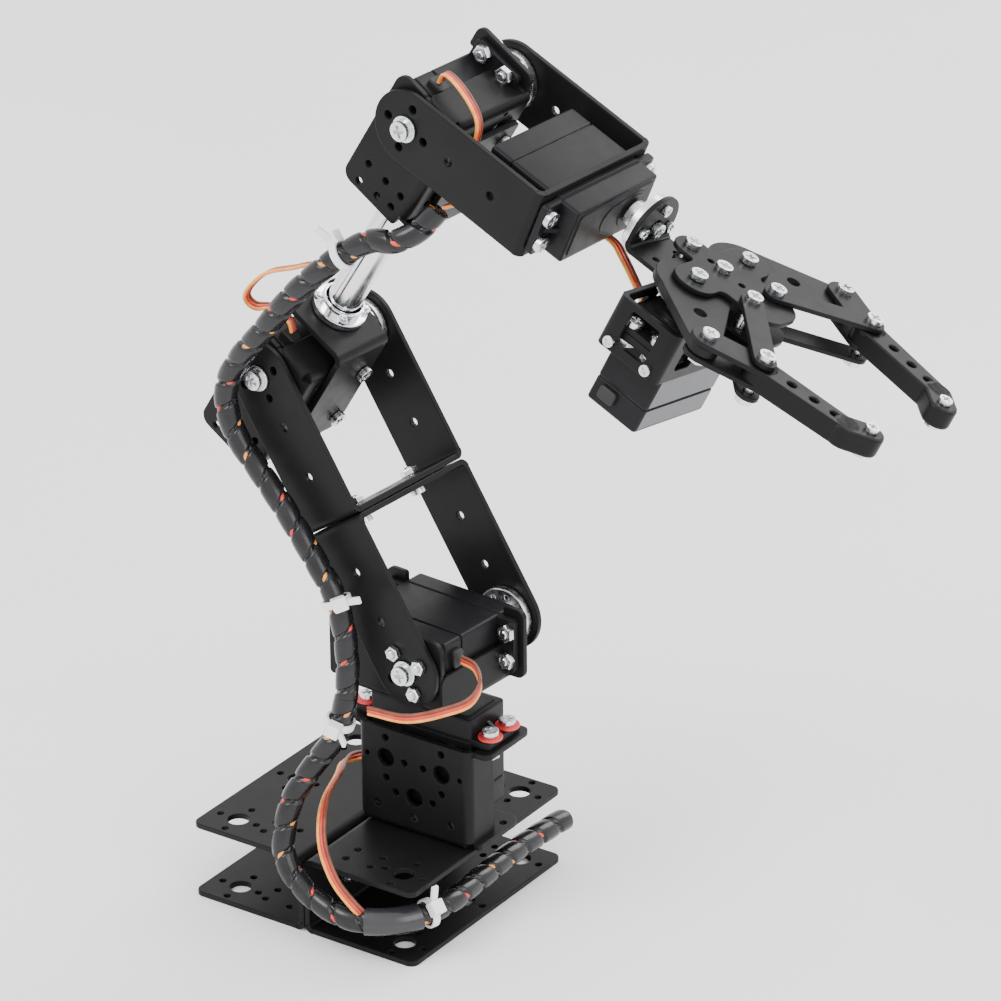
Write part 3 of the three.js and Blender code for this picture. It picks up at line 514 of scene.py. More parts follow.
def servo_bracket(node, at, body, drilled=()):
    """Bent bracket: rear plate, main plate, two end walls with tabs, and their rounded bends"""
    b, m = BRACKET, SERVO_MID
    low, high, face, half, depth = m - b.half, m + b.half, b.face, b.half_width, b.depth
    part = Piece(f"{node}_sheet", at)
    foot = face - b.wall
    rear = outline(
        (-b.rear_back, -half, 4), (b.rear_front, -half, 4), (b.rear_front, foot - 0.6, 0.8),
        (high - 0.4, foot - 0.6, 0), (high - 0.4, face - OVERLAP, 0), (-b.rear_back, face - OVERLAP, 1.5),
    )
    rear_holes = [ring(0, 0, b.bearing_r)]
    rear_holes += [ring(x, y, 1.3) for x, y in ((-24, 9), (-24, 2), (-24, -6), (-31, 2), (-30, 8), (-32, -6))
                   if all(math.hypot(x - u, y - v) > 4 for u, v in drilled)]
    rear_holes += [ring(x, y, 1.8) for x, y in drilled]
    part.plate(rear, 0, SHEET, rear_holes)
    main = slab(low + OVERLAP, OVERLAP, high - OVERLAP, depth)
    main_holes = group(m - b.pair, 26, 3.3) + group(m + b.pair, 26, 3.3) + [ring(m, 14, 3.3)]
    main_holes += [ring(m + dx, 14 + dy, 1.3) for dx, dy in ((7.5, 0), (-7.5, 0), (0, -7.5))]
    main_holes += [ring(m + dx, 8, 1.3) for dx in (-15, 15)]
    part.plate(main, 0, SHEET, main_holes, shift(0, face, 0) @ STAND_Y)
    part.corner((low + OVERLAP, face, 0), (high - OVERLAP, face, 0), (0, 1, 0), (0, 0, -1))
    for side in (-1, 1):
        outer = m + side * b.half
        inner = outer - side * SHEET
        wall = slab(foot, 0.2, face - OVERLAP, depth - OVERLAP, (3, 0, 0, 0))
        part.plate(wall, min(inner, outer), max(inner, outer), (), STAND_X)
        end = outer + side * b.tab
        near = outer + side * (BEND - SHEET - EDGE)
        tab = [(near, half, 0), (near, foot - 0.4, 0), (inner, foot - 0.4, 0),
               (inner, -half, 1), (end, -half, 3), (end, half, 3)]
        screws = [ring(m + side * SERVO.screw_x, v * SERVO.screw_y, 1.8) for v in (-1, 1)]
        part.plate(outline(*tab), depth - SHEET, depth, screws)
        part.corner((outer, face, OVERLAP), (outer, face, depth), (side, 0, 0), (0, 1, 0))
        part.corner((inner, foot, depth), (inner, half, depth), (-side, 0, 0), (0, 0, 1))
    part.done(body, "black_plate", node)


def servo_motor(node, at, body, film=False):
    """Servo motor: three mouldings with seams, ribbed ears, cable exit and, where asked, films on a side;
    the seams and the cable exit get painted shade
    """
    s = SERVO
    part = Piece(f"{node}_case", at)
    x0, x1, half = -s.back, s.front, s.half
    for z0, z1, edge in ((0, 8.6, 0.7), (8.9, 28.6, 0.4), (28.9, s.height - 0.4, 0.7)):
        part.add(sheet(slab(x0, -half, x1, half, 1.3), z0, z1, (), edge), PLASTIC)
    # Painted shade: a near-black core inside the case shows in the seams between the mouldings
    seams = slab(x0 + 0.5, -half + 0.5, x1 - 0.5, half - 0.5, 1)
    part.add(sheet(seams, 0.5, s.height - 1, (), 0.2), PAINTED_SHADE)
    part.add(sheet(slab(x0 + 2, -half + 1.6, x1 - 1, half - 1.6, 2), 30, s.height, (), 0.4), PLASTIC)
    part.add(sheet(taper((-9, 0), 6, (0, 0), 7.4), 32, s.height + 0.25, (), 0.2), PLASTIC)
    part.add(tube(6.4, 3.4, 33, s.height + 0.5), PLASTIC)
    ears = slab(x0 - s.ear_reach, -half + 0.4, x1 + s.ear_reach, half - 0.4, 1.5)
    ear_top = s.ear_z + s.ear_t
    part.add(sheet(ears, s.ear_z, ear_top, [ring(x, y, 1.95) for x, y in EAR_SCREWS]), PLASTIC)
    for side, edge in ((-1, x0), (1, x1)):
        rib = outline((edge - side, s.ear_z + 0.5, 0), (edge + side * 4.6, s.ear_z + 0.5, 0),
                      (edge + side * 4.6, ear_top + 0.2, 0), (edge - side, s.ear_z + 6, 0))
        part.add(sheet(rib, -0.8, 0.8, (), 0.2), PLASTIC, STAND_Y)
    for x in (SERVO_MID - 16.8, SERVO_MID + 16.8):
        for y in (-7, 7):
            part.add(tube(2.1, 1.5, -0.05, 0.8, 0.1, 24), PLASTIC, shift(x, y, 0))
            part.screw(x, y, 0.75, 1.4, 0.65, -1)
    # Painted shade: a near-black patch stands for the shade in the cable exit
    cable_exit_shade = sheet(slab(-6.6, 2.9, -0.2, 7.7, 1.2), 0, 2.1, (), 0.5)
    part.add(cable_exit_shade, PAINTED_SHADE, shift(x1 - 0.4, 0, 0) @ STAND_X)
    for z0, z1 in ((1.2, 8.2), (9.4, 27)) if film else ():
        strip = sheet(slab(x0 + 1.2, z0, x1 - 1.2, z1, 0.6), 0, FILM_T, (), 0.03)
        part.add(strip, LABEL, shift(0, half + FILM_T, 0) @ STAND_Y)
    part.done(body, "servo_plastic", node)


def servo_screws(name, at, body, head_z, nut_z, washers=False):
    """Four ear screws with nuts and, where asked, red washers"""
    part = Piece(name, at)
    for x, y in EAR_SCREWS:
        top = head_z
        if washers:
            part.add(tube(4.2, 1.7, top, top + 0.9, 0.2, 28), WASHER_RED, shift(x, y, 0))
            top += 0.9
        part.screw(x, y, top + 0.02, 2.9, 2)
        part.bolt(1.5, nut_z - 1, head_z + 0.5, move=shift(x, y, 0))
        part.nut(x, y, nut_z, 3.1, 2.2, -1)
    part.done(body, "steel")


def servo_horn(node, at, body, plate_t=SHEET, screws=(0, 90, 180, 270)):
    """Round metal horn with a turned edge, its boss and the screws through the plate on it"""
    part = Piece(f"{node}_disc", at)
    under, top = HORN.lift, HORN.lift + HORN.t
    seat = top + plate_t + 2 * GAP
    holes = [ring(*polar(HORN.screw_r, a), 0.85, 16) for a in range(0, 360, 45)]
    part.add(sheet(ring(0, 0, HORN.r, 72), under, top, holes, 0.35), HORN_METAL)
    boss = [(0, 0.8), (3.6, 0.8), (HORN.boss_r, 1.4), (HORN.boss_r, 4.6)]
    part.add(lathe(boss + [(5.6, under + 0.2), (0, under + 0.2)], 40), HORN_METAL)
    part.add(rod(2.9, top - 0.2, top + 0.25, 0.1, 32), HORN_METAL)
    part.bolt(1.5, top - 0.5, seat + 0.5)
    part.screw(0, 0, seat, 2.9, 2)
    for angle in screws:
        x, y = polar(HORN.screw_r, angle)
        part.bolt(1, top - 0.5, seat + 0.3, 0.1, 16, shift(x, y, 0))
        part.screw(x, y, seat, 1.9, 1.5)
    part.done(body, "steel", node)


def bearing(node, at, body):
    """Flanged ball bearing: outer ring, shield and inner ring; the sunken shield is painted near-black as
    shade
    """
    part = Piece(f"{node}_rings", at)
    outer = BRACKET.bearing_r - GAP
    part.add(tube(outer, 3.1, -0.4, SHEET, 0.15), HORN_METAL)
    part.add(tube(5.2, 3.1, -0.75, -GAP, 0.12), HORN_METAL)
    # Painted shade: the sunken shield between the rings is near-black for the shade in this gap
    part.add(tube(3.2, 2.3, -0.2, SHEET - 0.2, 0.05), PAINTED_SHADE)
    part.add(tube(2.5, 1.8, -0.4, SHEET, 0.1), HORN_METAL)
    part.done(body, "steel", node)


def yoke(node, at, body, window=()):
    """Long U bracket: hinge axis along Z; its base plate, towards +X, has a window or a pattern of holes"""
    half, reach, inner = YOKE.half_width, YOKE.reach, YOKE.inner / 2
    part = Piece(f"{node}_sheet", at)
    round_end = [(half * math.cos(a), half * math.sin(a)) for a in
                 [math.pi * (0.5 + k / 32) for k in range(33)]]
    arm = [(reach - OVERLAP, -half), (reach - OVERLAP, half)] + round_end
    line = [ring(18.3, 0, 1.5), ring(36.3, 0, 1.5)]
    horn_holes = group(0, 0, YOKE.horn_hole_r, HORN.screw_r, 1.5)
    part.plate(arm, inner, inner + SHEET, horn_holes + line)
    part.plate(arm, -inner - SHEET, -inner, [ring(0, 0, 2)] + horn_holes[1:] + line)
    across = inner + SHEET - OVERLAP
    pattern = [ring(0, 0, 3.3)] + [ring(0, v, 1.8) for v in (-14, 14)]
    pattern += [ring(u, v, 1.3) for u in (-7.5, 7.5) for v in (-19, 0, 19)]
    base = slab(-half, -across, half, across)
    part.plate(base, 0, SHEET, window or pattern, shift(reach - SHEET, 0, 0) @ STAND_X)
    for side in (-1, 1):
        edge = side * (inner + SHEET)
        part.corner((reach, -half, edge), (reach, half, edge), (1, 0, 0), (0, 0, side))
    part.done(body, "black_plate", node)


def pivot_bolt(node, at, body, spare_bolts=()):
    """Bolt through the rear bearing, with a washer; spare bolts go in the small holes beside it"""
    part = Piece(f"{node}_set", at)
    head, end = -YOKE.inner / 2 - SHEET - GAP, REAR_Y + SHEET + GAP
    part.add(tube(4.4, 1.7, head - 0.8, head, 0.15, 32), STEEL)
    part.screw(0, 0, head - 0.8, 3.3, 2.6, -1)
    part.bolt(1.5, head - 1, end + 2, 0.2, 24)
    part.nut(0, 0, end, 3.1, 1.3)
    for angle in spare_bolts:
        x, y = polar(HORN.screw_r, angle)
        part.bolt(1.4, head - 3, head + 1.5, 0.2, 20, shift(x, y, 0))
        part.nut(x, y, head, 2.7, 2, -1)
    part.done(body, "steel", node)


# ---- Base and waist

def base_channel(node, side):
    """Two flanges and a web with rounded bends, drilled with groups of holes"""
    b = BASE
    web, far, half = GAP / 2, b.right if side > 0 else b.left, b.depth / 2
    part = Piece(f"{node}_sheet", AT_BASE @ Matrix.Diagonal((side, 1, 1, 1)))
    edge = slab(web + OVERLAP, -half, far, half, (0, b.corner, b.corner, 0))
    rows = (-b.hole_y, 0, b.hole_y)
    low = [hole for y in rows for hole in group(b.hole_x, y, b.hole_r, 7.5, 1.2)]
    low += [ring(x, y, 1.2) for x in (12, 22) for y in (-36, -29, 29, 36)]
    high = low + ([ring(x, y, 1.8) for x, y in FOOT_BOLTS] if side > 0 else [])
    part.plate(edge, 0, SHEET, low)
    part.plate(edge, b.height - SHEET, b.height, high)
    upright = slab(-half, OVERLAP, half, b.height - OVERLAP)
    part.plate(upright, web, web + SHEET, [ring(y, b.height / 2, 1.9) for y in WEB_BOLTS], STAND_X)
    for z, out in ((0, -1), (b.height, 1)):
        part.corner((web, -half, z), (web, half, z), (-1, 0, 0), (0, 0, out))
    if side < 0:
        bmesh.ops.reverse_faces(part.shells, faces=part.shells.faces)
    part.done("base", "black_plate", node)


def bolt_and_nut(node, at, body, low, high):
    """Bolt with its head below low and its nut above high"""
    part = Piece(f"{node}_set", at)
    part.screw(0, 0, low - GAP, 2.8, 2, -1)
    part.bolt(1.5, low - 1, high + 1)
    part.nut(0, 0, high + GAP)
    part.done(body, "steel", node)


def make_base():
    base_channel("base_channel_left", -1)
    base_channel("base_channel_right", 1)
    half = GAP / 2 + SHEET
    for node, y in zip(("base_bolt_front", "base_bolt_rear"), WEB_BOLTS):
        at = within(AT_BASE, (0, y, BASE.height / 2), (0, 1, 0), (1, 0, 0))
        bolt_and_nut(node, at, "base", -half, half)
    under, top = BASE.height - SHEET, BASE.height + GAP + SHEET
    for i, (x, y) in enumerate(FOOT_BOLTS):
        bolt_and_nut(f"waist_foot_bolt_{i + 1}", AT_BASE @ shift(x, y, 0), "base", under, top)


def make_waist():
    x, y = (joint_point("base_yaw") / MM)[:2]
    servo_bracket("waist_bracket", AT_WAIST, "base", [(x - u, y - v) for u, v in FOOT_BOLTS])
    servo_motor("waist_servo", AT_WAIST @ shift(0, 0, SERVO_ON_TOP), "base")
    ear_top = SERVO_ON_TOP + SERVO.ear_z + SERVO.ear_t
    servo_screws("waist_screws", AT_WAIST, "base", ear_top, BRACKET.depth - SHEET, washers=True)
    servo_horn("waist_horn", AT_TURNTABLE, "turntable")


def hinge_unit(name, at, body):
    """Bracket, servo motor and bearing of one hinge"""
    servo_bracket(f"{name}_bracket", at, body)
    servo_motor(f"{name}_servo", at @ shift(0, 0, SERVO_SEAT), body)
    servo_screws(f"{name}_screws", at, body, BRACKET.depth, SERVO_SEAT + SERVO.ear_z)
    bearing(f"{name}_bearing", at, body)


# ---- Arm

def make_upper_arm():
    """Two long U brackets bolted base to base, with the horn and the pivot bolt of each end"""
    horn_z = REAR_Y + SERVO_SEAT + SERVO.height
    ends = [
        ("shoulder", "lower", AT_LOWER_YOKE, (0, 90, 180)),
        ("elbow", "upper", AT_UPPER_YOKE, ()),
    ]
    for name, end, at, spare_bolts in ends:
        yoke(f"upper_arm_{end}_bracket", at, "upper_arm")
        servo_horn(f"{name}_horn", at @ shift(0, 0, horn_z), "upper_arm")
        pivot_bolt(f"{name}_pivot_bolt", at, "upper_arm", spare_bolts)
    half = SHEET + GAP / 2
    for i, z in enumerate((-14, 14)):
        at = within(AT_LOWER_YOKE, (YOKE.reach + GAP / 2, 0, z), (0, 0, 1), (1, 0, 0))
        bolt_and_nut(f"upper_arm_bolt_{i + 1}", at, "upper_arm", -half, half)


def angle_plate(node, at_x, side):
    """Leg bolted on a bracket's main plate, and an end plate that carries the tube's flange"""
    k = LINK
    inner = BRACKET.face + GAP
    outer = inner + SHEET
    corner = at_x + side * SHEET
    part = Piece(f"{node}_sheet", AT_LINK)
    near, far = corner - side * OVERLAP, at_x - side * k.foot
    bolts = [(at_x - side * 13, 4), (at_x - side * 35.7, 4)]
    leg = slab(min(near, far), k.left, max(near, far), k.right, 2)
    part.plate(leg, -outer, -inner, [ring(x, z, 1.8) for x, z in bolts], STAND_Y)
    end = slab(-k.flange_r - 1, k.left, outer - OVERLAP, k.right, (4, 0, 0, 4))
    spots = [polar(k.screw_r, a) for a in (45, 135, 225, 315)]
    holes = [ring(0, 0, 3)] + [ring(y, z, 1.3) for y, z in spots]
    part.plate(end, min(at_x, corner), max(at_x, corner), holes, STAND_X)
    part.corner((corner, outer, k.left), (corner, outer, k.right), (side, 0, 0), (0, 1, 0))
    for x, z in bolts:
        part.screw_within((x, outer, z), (1, 0, 0), (0, 1, 0), GAP, 2.8, 2)
    for y, z in spots:
        part.screw_within((at_x, y, z), (0, side, 0), (-side, 0, 0), GAP, 2.1, 1.6)
    part.done("forearm", "black_plate", node)


def tube_flange(node, at_x, side):
    """Flange with a collar that grips the tube"""
    k = LINK
    at = within(AT_LINK, (at_x + side * (SHEET + GAP), 0, 0), (0, side, 0), (side, 0, 0))
    part = Piece(f"{node}_ring", at)
    part.add(tube(k.flange_r, k.tube_r + 2 * GAP, 0, k.flange_t, 0.35, 64), POLISHED)
    part.add(tube(k.tube_r + 1.6, k.tube_r + 2 * GAP, 1, k.flange_t + 3, 0.4, 64), POLISHED)
    for angle in (45, 135, 225, 315):
        part.nut(*polar(8, angle), k.flange_t, 1.9, 1.5)
    part.done("forearm", "polished_aluminium", node)


def make_forearm():
    """Two hinge units, and between them the polished tube in its flanges on two angle plates"""
    k = LINK
    hinge_unit("elbow", AT_ELBOW, "forearm")
    hinge_unit("wrist", AT_WRIST, "forearm")
    ends = [("lower", k.low, 1), ("upper", k.high + SHEET, -1)]
    for end, at_x, side in ends:
        angle_plate(f"forearm_{end}_angle", at_x, side)
    for end, at_x, side in ends:
        tube_flange(f"forearm_{end}_flange", at_x, side)
    end = SHEET + 3 * GAP
    shaft = Piece("forearm_tube_polished", within(AT_LINK, (0, 0, 0), (0, 1, 0), (1, 0, 0)))
    shaft.add(tube(k.tube_r, 4.6, k.low + end, k.high - end, 0.2, 72), POLISHED)
    shaft.done("forearm", "polished_aluminium", "forearm_tube")


# ---- Hand and gripper

def make_hand():
    """Long U bracket with the roll servo motor in the window of its base plate"""
    s = SERVO
    middle = CLAW.centre + SERVO_MID
    edge = (s.front + s.back) / 2 + GAP
    window = [slab(-s.half - GAP, middle - edge, s.half + GAP, middle + edge, 0.6)]
    window += [ring(y, CLAW.centre + x, 1.8) for x, y in EAR_SCREWS]
    yoke("hand_bracket", AT_PALM, "hand", window)
    servo_horn("wrist_horn", AT_PALM @ shift(0, 0, REAR_Y + SERVO_SEAT + s.height), "hand")
    pivot_bolt("wrist_pivot_bolt", AT_PALM, "hand")
    servo_motor("roll_servo", AT_ROLL_SERVO, "hand")
    ear_top, nut_z = s.ear_z + s.ear_t, s.ear_z - GAP - SHEET
    servo_screws("roll_servo_screws", AT_ROLL_SERVO, "hand", ear_top, nut_z)
    servo_horn("roll_horn", AT_ROLL_HORN, "gripper", CLAW.sheet, (0, 90, 180))


def linkage(side):
    """Pivots of one side of the gripper (side is -1 or 1)"""
    c = CLAW
    points = {
        "gear": c.gear, "inner": c.inner, "knuckle": c.knuckle, "tip": c.tip,
        "rear": (c.gear[0] + c.link[0], c.gear[1] + c.link[1]),
        "front": (c.inner[0] + c.link[0], c.inner[1] + c.link[1]),
    }
    return {name: (x, side * y) for name, (x, y) in points.items()}


def claw_sheet(part, edge, z0, z1, *holes):
    part.add(sheet(edge, z0, z1, [ring(*hole) for hole in holes], 0.25), PLATE)


def plate_outline(tail=None):
    """The gripper's plate: bars between the pivots, a rounded nose and, on the top plate, a tail"""
    (gx, gy), nose = CLAW.gear, CLAW.inner[0] + 11
    back, front = gx - 7.5, gx + 7.5
    half = [(back, -gy - 7.5, 7), (front, -gy - 7.5, 7), (front, -10.5, 2.5), (nose, -10.5, 8.5)]
    corners = half + [(x, -y, r) for x, y, r in reversed(half)]
    if tail:
        x, y = tail
        corners += [(back, y, 2), (x, y, 5.5), (x, -y, 5.5), (back, -y, 2)]
    return outline(*corners)


def make_gripper_plates():
    """Bent base plate with its round flange, and the top plate with the bolted spacer between them"""
    c = CLAW
    (gx, gy), (ix, iy), r, spacer = c.gear, c.inner, c.flange_r, c.spacer
    low = Piece("gripper_base_sheet", AT_CLAW)
    rim = c.lower + OVERLAP
    disc = outline((-r, rim, 0), (r, rim, 0), (r, r, r - 0.05), (-r, r, r - 0.05), steps=20)
    holes = [ring(0, 0, 3.2)] + [ring(x, y, 1.4) for x, y in ((7.5, 0), (-7.5, 0), (0, 7.5))]
    low.add(sheet(disc, 0, c.sheet, holes, 0.25), PLATE, shift(FLANGE_AT, 0, 0) @ STAND_X)
    low.corner((FLANGE_AT, -r, c.lower), (FLANGE_AT, r, c.lower), (-1, 0, 0), (0, 0, -1))
    z0, z1 = c.lower, c.lower + c.sheet
    neck = slab(FLANGE_AT + OVERLAP, -r, gx - 6, r)
    claw_sheet(low, neck, z0, z1, (spacer, 0, 1.9), (82, 6, 1.2), (82, -6, 1.2))
    pivots = [(x, y, 1.9) for x, y in ((gx, gy), (ix, iy), (ix, -iy))]
    claw_sheet(low, plate_outline(), z0, z1, (gx, -gy, 5.6), *pivots, (108, 0, 2.5))
    low.done("gripper", "black_plate", "gripper_base")
    z0, z1 = c.upper, c.upper + c.sheet
    top = Piece("gripper_top_plate_sheet", AT_CLAW)
    pivots = [(x, y, 1.9) for x, y in ((gx, gy), (gx, -gy), (spacer, 0), (ix, iy), (ix, -iy), (gx, 0))]
    claw_sheet(top, plate_outline((82.5, 6)), z0, z1, *pivots, (96, 0, 1.2), (109, 0, 1.2))
    top.bolt(1.5, c.lower - 1, z1 + 1, move=shift(spacer, 0, 0))
    top.add(tube(3, 1.6, c.lower + c.sheet, z0, 0.2, 28), STEEL, shift(spacer, 0, 0))
    for x in (spacer, gx):
        top.screw(x, 0, z1 + 0.05, 2.8, 2)
    top.nut(spacer, 0, c.lower - 0.1, 3.1, 2.2, -1)
    top.done("gripper", "black_plate", "gripper_top_plate")


def claw_pin(part, x, y, z0, z1):
    """Pivot screw with its head above z1 and its nut below z0"""
    part.screw(x, y, z1 + GAP, 2.8, 2)
    part.bolt(1.5, z0 - 0.5, z1 + 0.5, move=shift(x, y, 0))
    part.nut(x, y, z0 - GAP, 3.1, 2, -1)


def gear_teeth(centre, phase):
    """Outline of a wheel with teeth on the side that meshes"""
    c = CLAW
    pitch, step = c.gear[1], 2 * math.pi / c.teeth
    root, flank, crown = pitch - 1.1, pitch - 0.2, pitch + c.tooth
    tooth = [(-0.3, root), (-0.2, flank), (-0.13, crown), (0.13, crown), (0.2, flank), (0.3, root)]
    meshing = range(-c.meshing, c.meshing + 1)
    spokes = [((i + offset) * step + phase, r) for i in meshing for offset, r in tooth]
    start = (c.meshing + 0.5) * step + phase
    end = (-c.meshing - 0.5) * step + phase + 2 * math.pi
    spokes += [(start + (end - start) * k / 24, pitch - 2) for k in range(25)]
    return [(centre[0] + r * math.cos(a), centre[1] + r * math.sin(a)) for a, r in spokes]


def make_gear_link(node, side, body):
    """Outer link: a bar on the toothed sector"""
    c, at = CLAW, linkage(side)
    gear, rear = at["gear"], at["rear"]
    z0, z1 = c.link_z
    phase = -side * math.pi / 2 + (math.pi / c.teeth if side > 0 else 0)
    part = Piece(f"{node}_sheet", AT_CLAW)
    part.add(sheet(gear_teeth(gear, phase), z0, z1, [ring(*gear, 1.9)], 0.15), PLATE)
    mid = [(gear[i] + rear[i]) / 2 for i in (0, 1)]
    bar = taper(gear, c.gear[1] - 2.2, rear, 5)
    claw_sheet(part, bar, z0 + 0.01, z1 - 0.01, (*gear, 1.9), (*rear, 1.9), (*mid, 2.2))
    part.done(body, "black_plate", node)


def make_inner_link(node, side, body):
    """Inner link: two straps, one under the base plate and one over the top plate, and their pins"""
    c, at = CLAW, linkage(side)
    inner, front = at["inner"], at["front"]
    bottom, top = c.lower - GAP, c.upper + c.sheet + GAP
    part = Piece(f"{node}_straps", AT_CLAW)
    for z0, z1 in ((bottom - c.sheet, bottom), (top, top + c.sheet)):
        claw_sheet(part, taper(inner, 4, front, 4), z0, z1, (*inner, 1.7), (*front, 1.7))
    for x, y in (inner, front):
        claw_pin(part, x, y, bottom - c.sheet, top + c.sheet - GAP)
    part.done(body, "black_plate", node)


def make_finger(node, side, body):
    """Finger: two ear plates round the outer link, a drilled bar and a rounded tip with its screw"""
    c, at = CLAW, linkage(side)
    rear, front, knuckle, tip = at["rear"], at["front"], at["knuckle"], at["tip"]
    low, top = c.finger, c.upper + c.sheet
    part = Piece(f"{node}_bars", AT_CLAW)
    for z0, z1 in ((low, low + c.sheet), (top - c.sheet, top)):
        claw_sheet(part, taper(rear, 5.5, front, 5.5), z0, z1, (*rear, 1.7), (*front, 2.2))
    spots = [Vector(front).lerp(Vector(knuckle), share) for share in (0.34, 0.6, 0.84)]
    holes = [ring(*front, 2.2)] + [ring(*spot, 1.6) for spot in spots]
    part.add(sheet(taper(front, 5, knuckle, 4.2), low, top, holes, 0.5), PLATE)
    part.add(sheet(taper(knuckle, 4.9, tip, 4.9), low, top, (), 0.9), PLATE)
    part.screw(*tip, top + 0.05, 2.3, 1.7)
    part.nut(*tip, low - 0.05, 2.6, 1.8, -1)
    claw_pin(part, *rear, low + GAP, top - GAP)
    part.done(body, "black_plate", node)


def make_gripper_servo():
    """Gripper servo motor in an open frame: four walls round it and a shelf on its ears"""
    s, c = SERVO, CLAW
    servo_motor("gripper_servo", AT_DRIVE, "gripper", film=True)
    horn_plate = c.upper + c.sheet - c.servo_top - HORN.lift - HORN.t - GAP
    servo_horn("gripper_horn", AT_DRIVE @ shift(0, 0, s.height), "drive_link_left", horn_plate, ())
    x0, x1 = -s.back - s.ear_reach - GAP, s.front + s.ear_reach + GAP
    half, middle = s.half + GAP, (x0 + x1) / 2
    far_x, far_y = (x1 - x0) / 2 + SHEET, half + SHEET
    top = s.height + c.lower - GAP - c.servo_top
    bottom, ledge = s.ear_z - 5, s.ear_z + s.ear_t + GAP
    short_wall = slab(-far_y + OVERLAP, bottom, far_y - OVERLAP, top)
    long_wall = slab(x0 - SHEET + OVERLAP, bottom, x1 + SHEET - OVERLAP, top)
    recess = slab(-5.6, ledge - 4.4, 5.6, top - 2.2, 1)
    slots = [slab(x, bottom + 4, x + 9, top - 3.4, 1.4) for x in (-26, -12, 2)]
    part = Piece("gripper_servo_frame_walls", AT_DRIVE)
    for side in (-1, 1):
        out = middle + side * far_x
        part.plate(short_wall, 0, SHEET, [recess], shift(min(out, out - side * SHEET), 0, 0) @ STAND_X)
        edge = side * far_y + (0 if side > 0 else SHEET)
        part.plate(long_wall, 0, SHEET, slots, shift(0, edge, 0) @ STAND_Y)
        for other in (-1, 1):
            x, y = middle + other * far_x, side * far_y
            part.corner((x, y, bottom), (x, y, top), (other, 0, 0), (0, side, 0))
        for y in (-7.6, 7.6):
            part.screw_within((out, y, bottom + 3), (0, 1, 0), (side, 0, 0), 0.02, 1.9, 1.4)
    opening = slab(-s.back - GAP, -half + GAP, s.front + GAP, half - GAP, 1)
    holes = [opening] + [ring(x, y, 1.8) for x, y in EAR_SCREWS]
    part.plate(slab(x0, -half, x1, half), ledge, ledge + SHEET, holes)
    for x, y in EAR_SCREWS:
        part.screw(x, y, ledge + SHEET, 2.8, 2)
        part.nut(x, y, s.ear_z, 3.1, 2, -1)
    part.done("gripper", "black_plate", "gripper_servo_frame")


def make_gripper():
    make_gripper_plates()
    make_gripper_servo()
    idler = Piece("gripper_idler_screw_set", AT_CLAW)
    claw_pin(idler, *CLAW.gear, CLAW.lower, CLAW.upper + CLAW.sheet)
    idler.done("gripper", "steel", "gripper_idler_screw")
    for name, side in (("left", -1), ("right", 1)):
        make_gear_link(f"gear_link_{name}", side, f"drive_link_{name}")
        make_inner_link(f"inner_link_{name}", side, f"guide_link_{name}")
        make_finger(f"finger_{name}", side, f"finger_{name}")


# ---- Cables

ARM_SIDE = -1.0 * MM  # middle plane of the arm from the waist axis


def arm_point(x, y, z):
    """A point of the arm: x forward and y along the hinges from the waist axis, z above ground"""
    foot = joint_point("base_yaw")
    return Vector((foot.x, foot.y, 0)) + AHEAD * x + HINGE * (y + ARM_SIDE) + UP * z


def hand_point(x, y, z):
    """A point from the wrist axis: x along the hand, y along the hinges, z up from the hand"""
    return WRIST + HAND * x + HINGE * y + HAND.cross(HINGE) * z


BUNDLE_R = 0.004
BUNDLE = [Vector(p) for p in (
    (0.044, 0.046, 0.015), (0.0436, 0.033, 0.0155), (0.0436, 0.018, 0.016), (0.0446, -0.007, 0.016),
    (0.045, -0.026, 0.016), (0.041, -0.038, 0.0155), (0.032, -0.0465, 0.015), (0.022, -0.0505, 0.0155),
    (0.0055, -0.05, 0.0202), (-0.0043, -0.0481, 0.0294), (-0.005, -0.0435, 0.0462),
    (0.0017, -0.0385, 0.0612), (0.0077, -0.036, 0.0711), (0.0125, -0.0345, 0.0884),
)] + [arm_point(*p) for p in (
    (0.0021, -0.035, 0.1065), (-0.0021, -0.035, 0.122), (-0.0094, -0.035, 0.1319),
    (-0.0213, -0.035, 0.1463), (-0.0332, -0.035, 0.1588), (-0.0426, -0.035, 0.1686),
    (-0.0465, -0.035, 0.1785), (-0.0456, -0.035, 0.1875), (-0.039, -0.035, 0.1985),
    (-0.0314, -0.035, 0.2074), (-0.0164, -0.0345, 0.2257), (-0.0037, -0.033, 0.2383),
    (0.0026, -0.031, 0.2435), (0.0107, -0.0293, 0.249), (0.0217, -0.0278, 0.2516),
    (0.0276, -0.023, 0.2561), (0.0314, -0.02, 0.262),
)]
# Piece, its first and last point on the route, and the body it rides on or the two bodies it lies between
BUNDLE_PARTS = [
    ("cable_base", 0, 9, "base"),
    ("cable_waist", 9, 13, ("base", "turntable")),
    ("cable_shoulder", 13, 16, ("turntable", "upper_arm")),
    ("cable_upper_arm", 16, 19, "upper_arm"),
    ("cable_elbow", 19, 23, ("upper_arm", "forearm")),
    ("cable_forearm", 23, 30, "forearm"),
]
WIRE_LAY = 0.05  # length in which the wires go once round the bundle
STRAND_OFF, STRAND_R = 0.0023, 0.0011  # place of a wire in the bundle, and its radius
SPAN_STEPS = 12  # points of a smooth route from one given point to the next
LEAD_STEP = 0.0012  # length between two rings of a lead
# The wrap's band takes this share of each turn and is rounded over the share called edge
WRAP = Sizes(pitch=0.0095, band=0.93, edge=0.09, t=0.0011, hollow=0.00025, steps=24, sides=24)

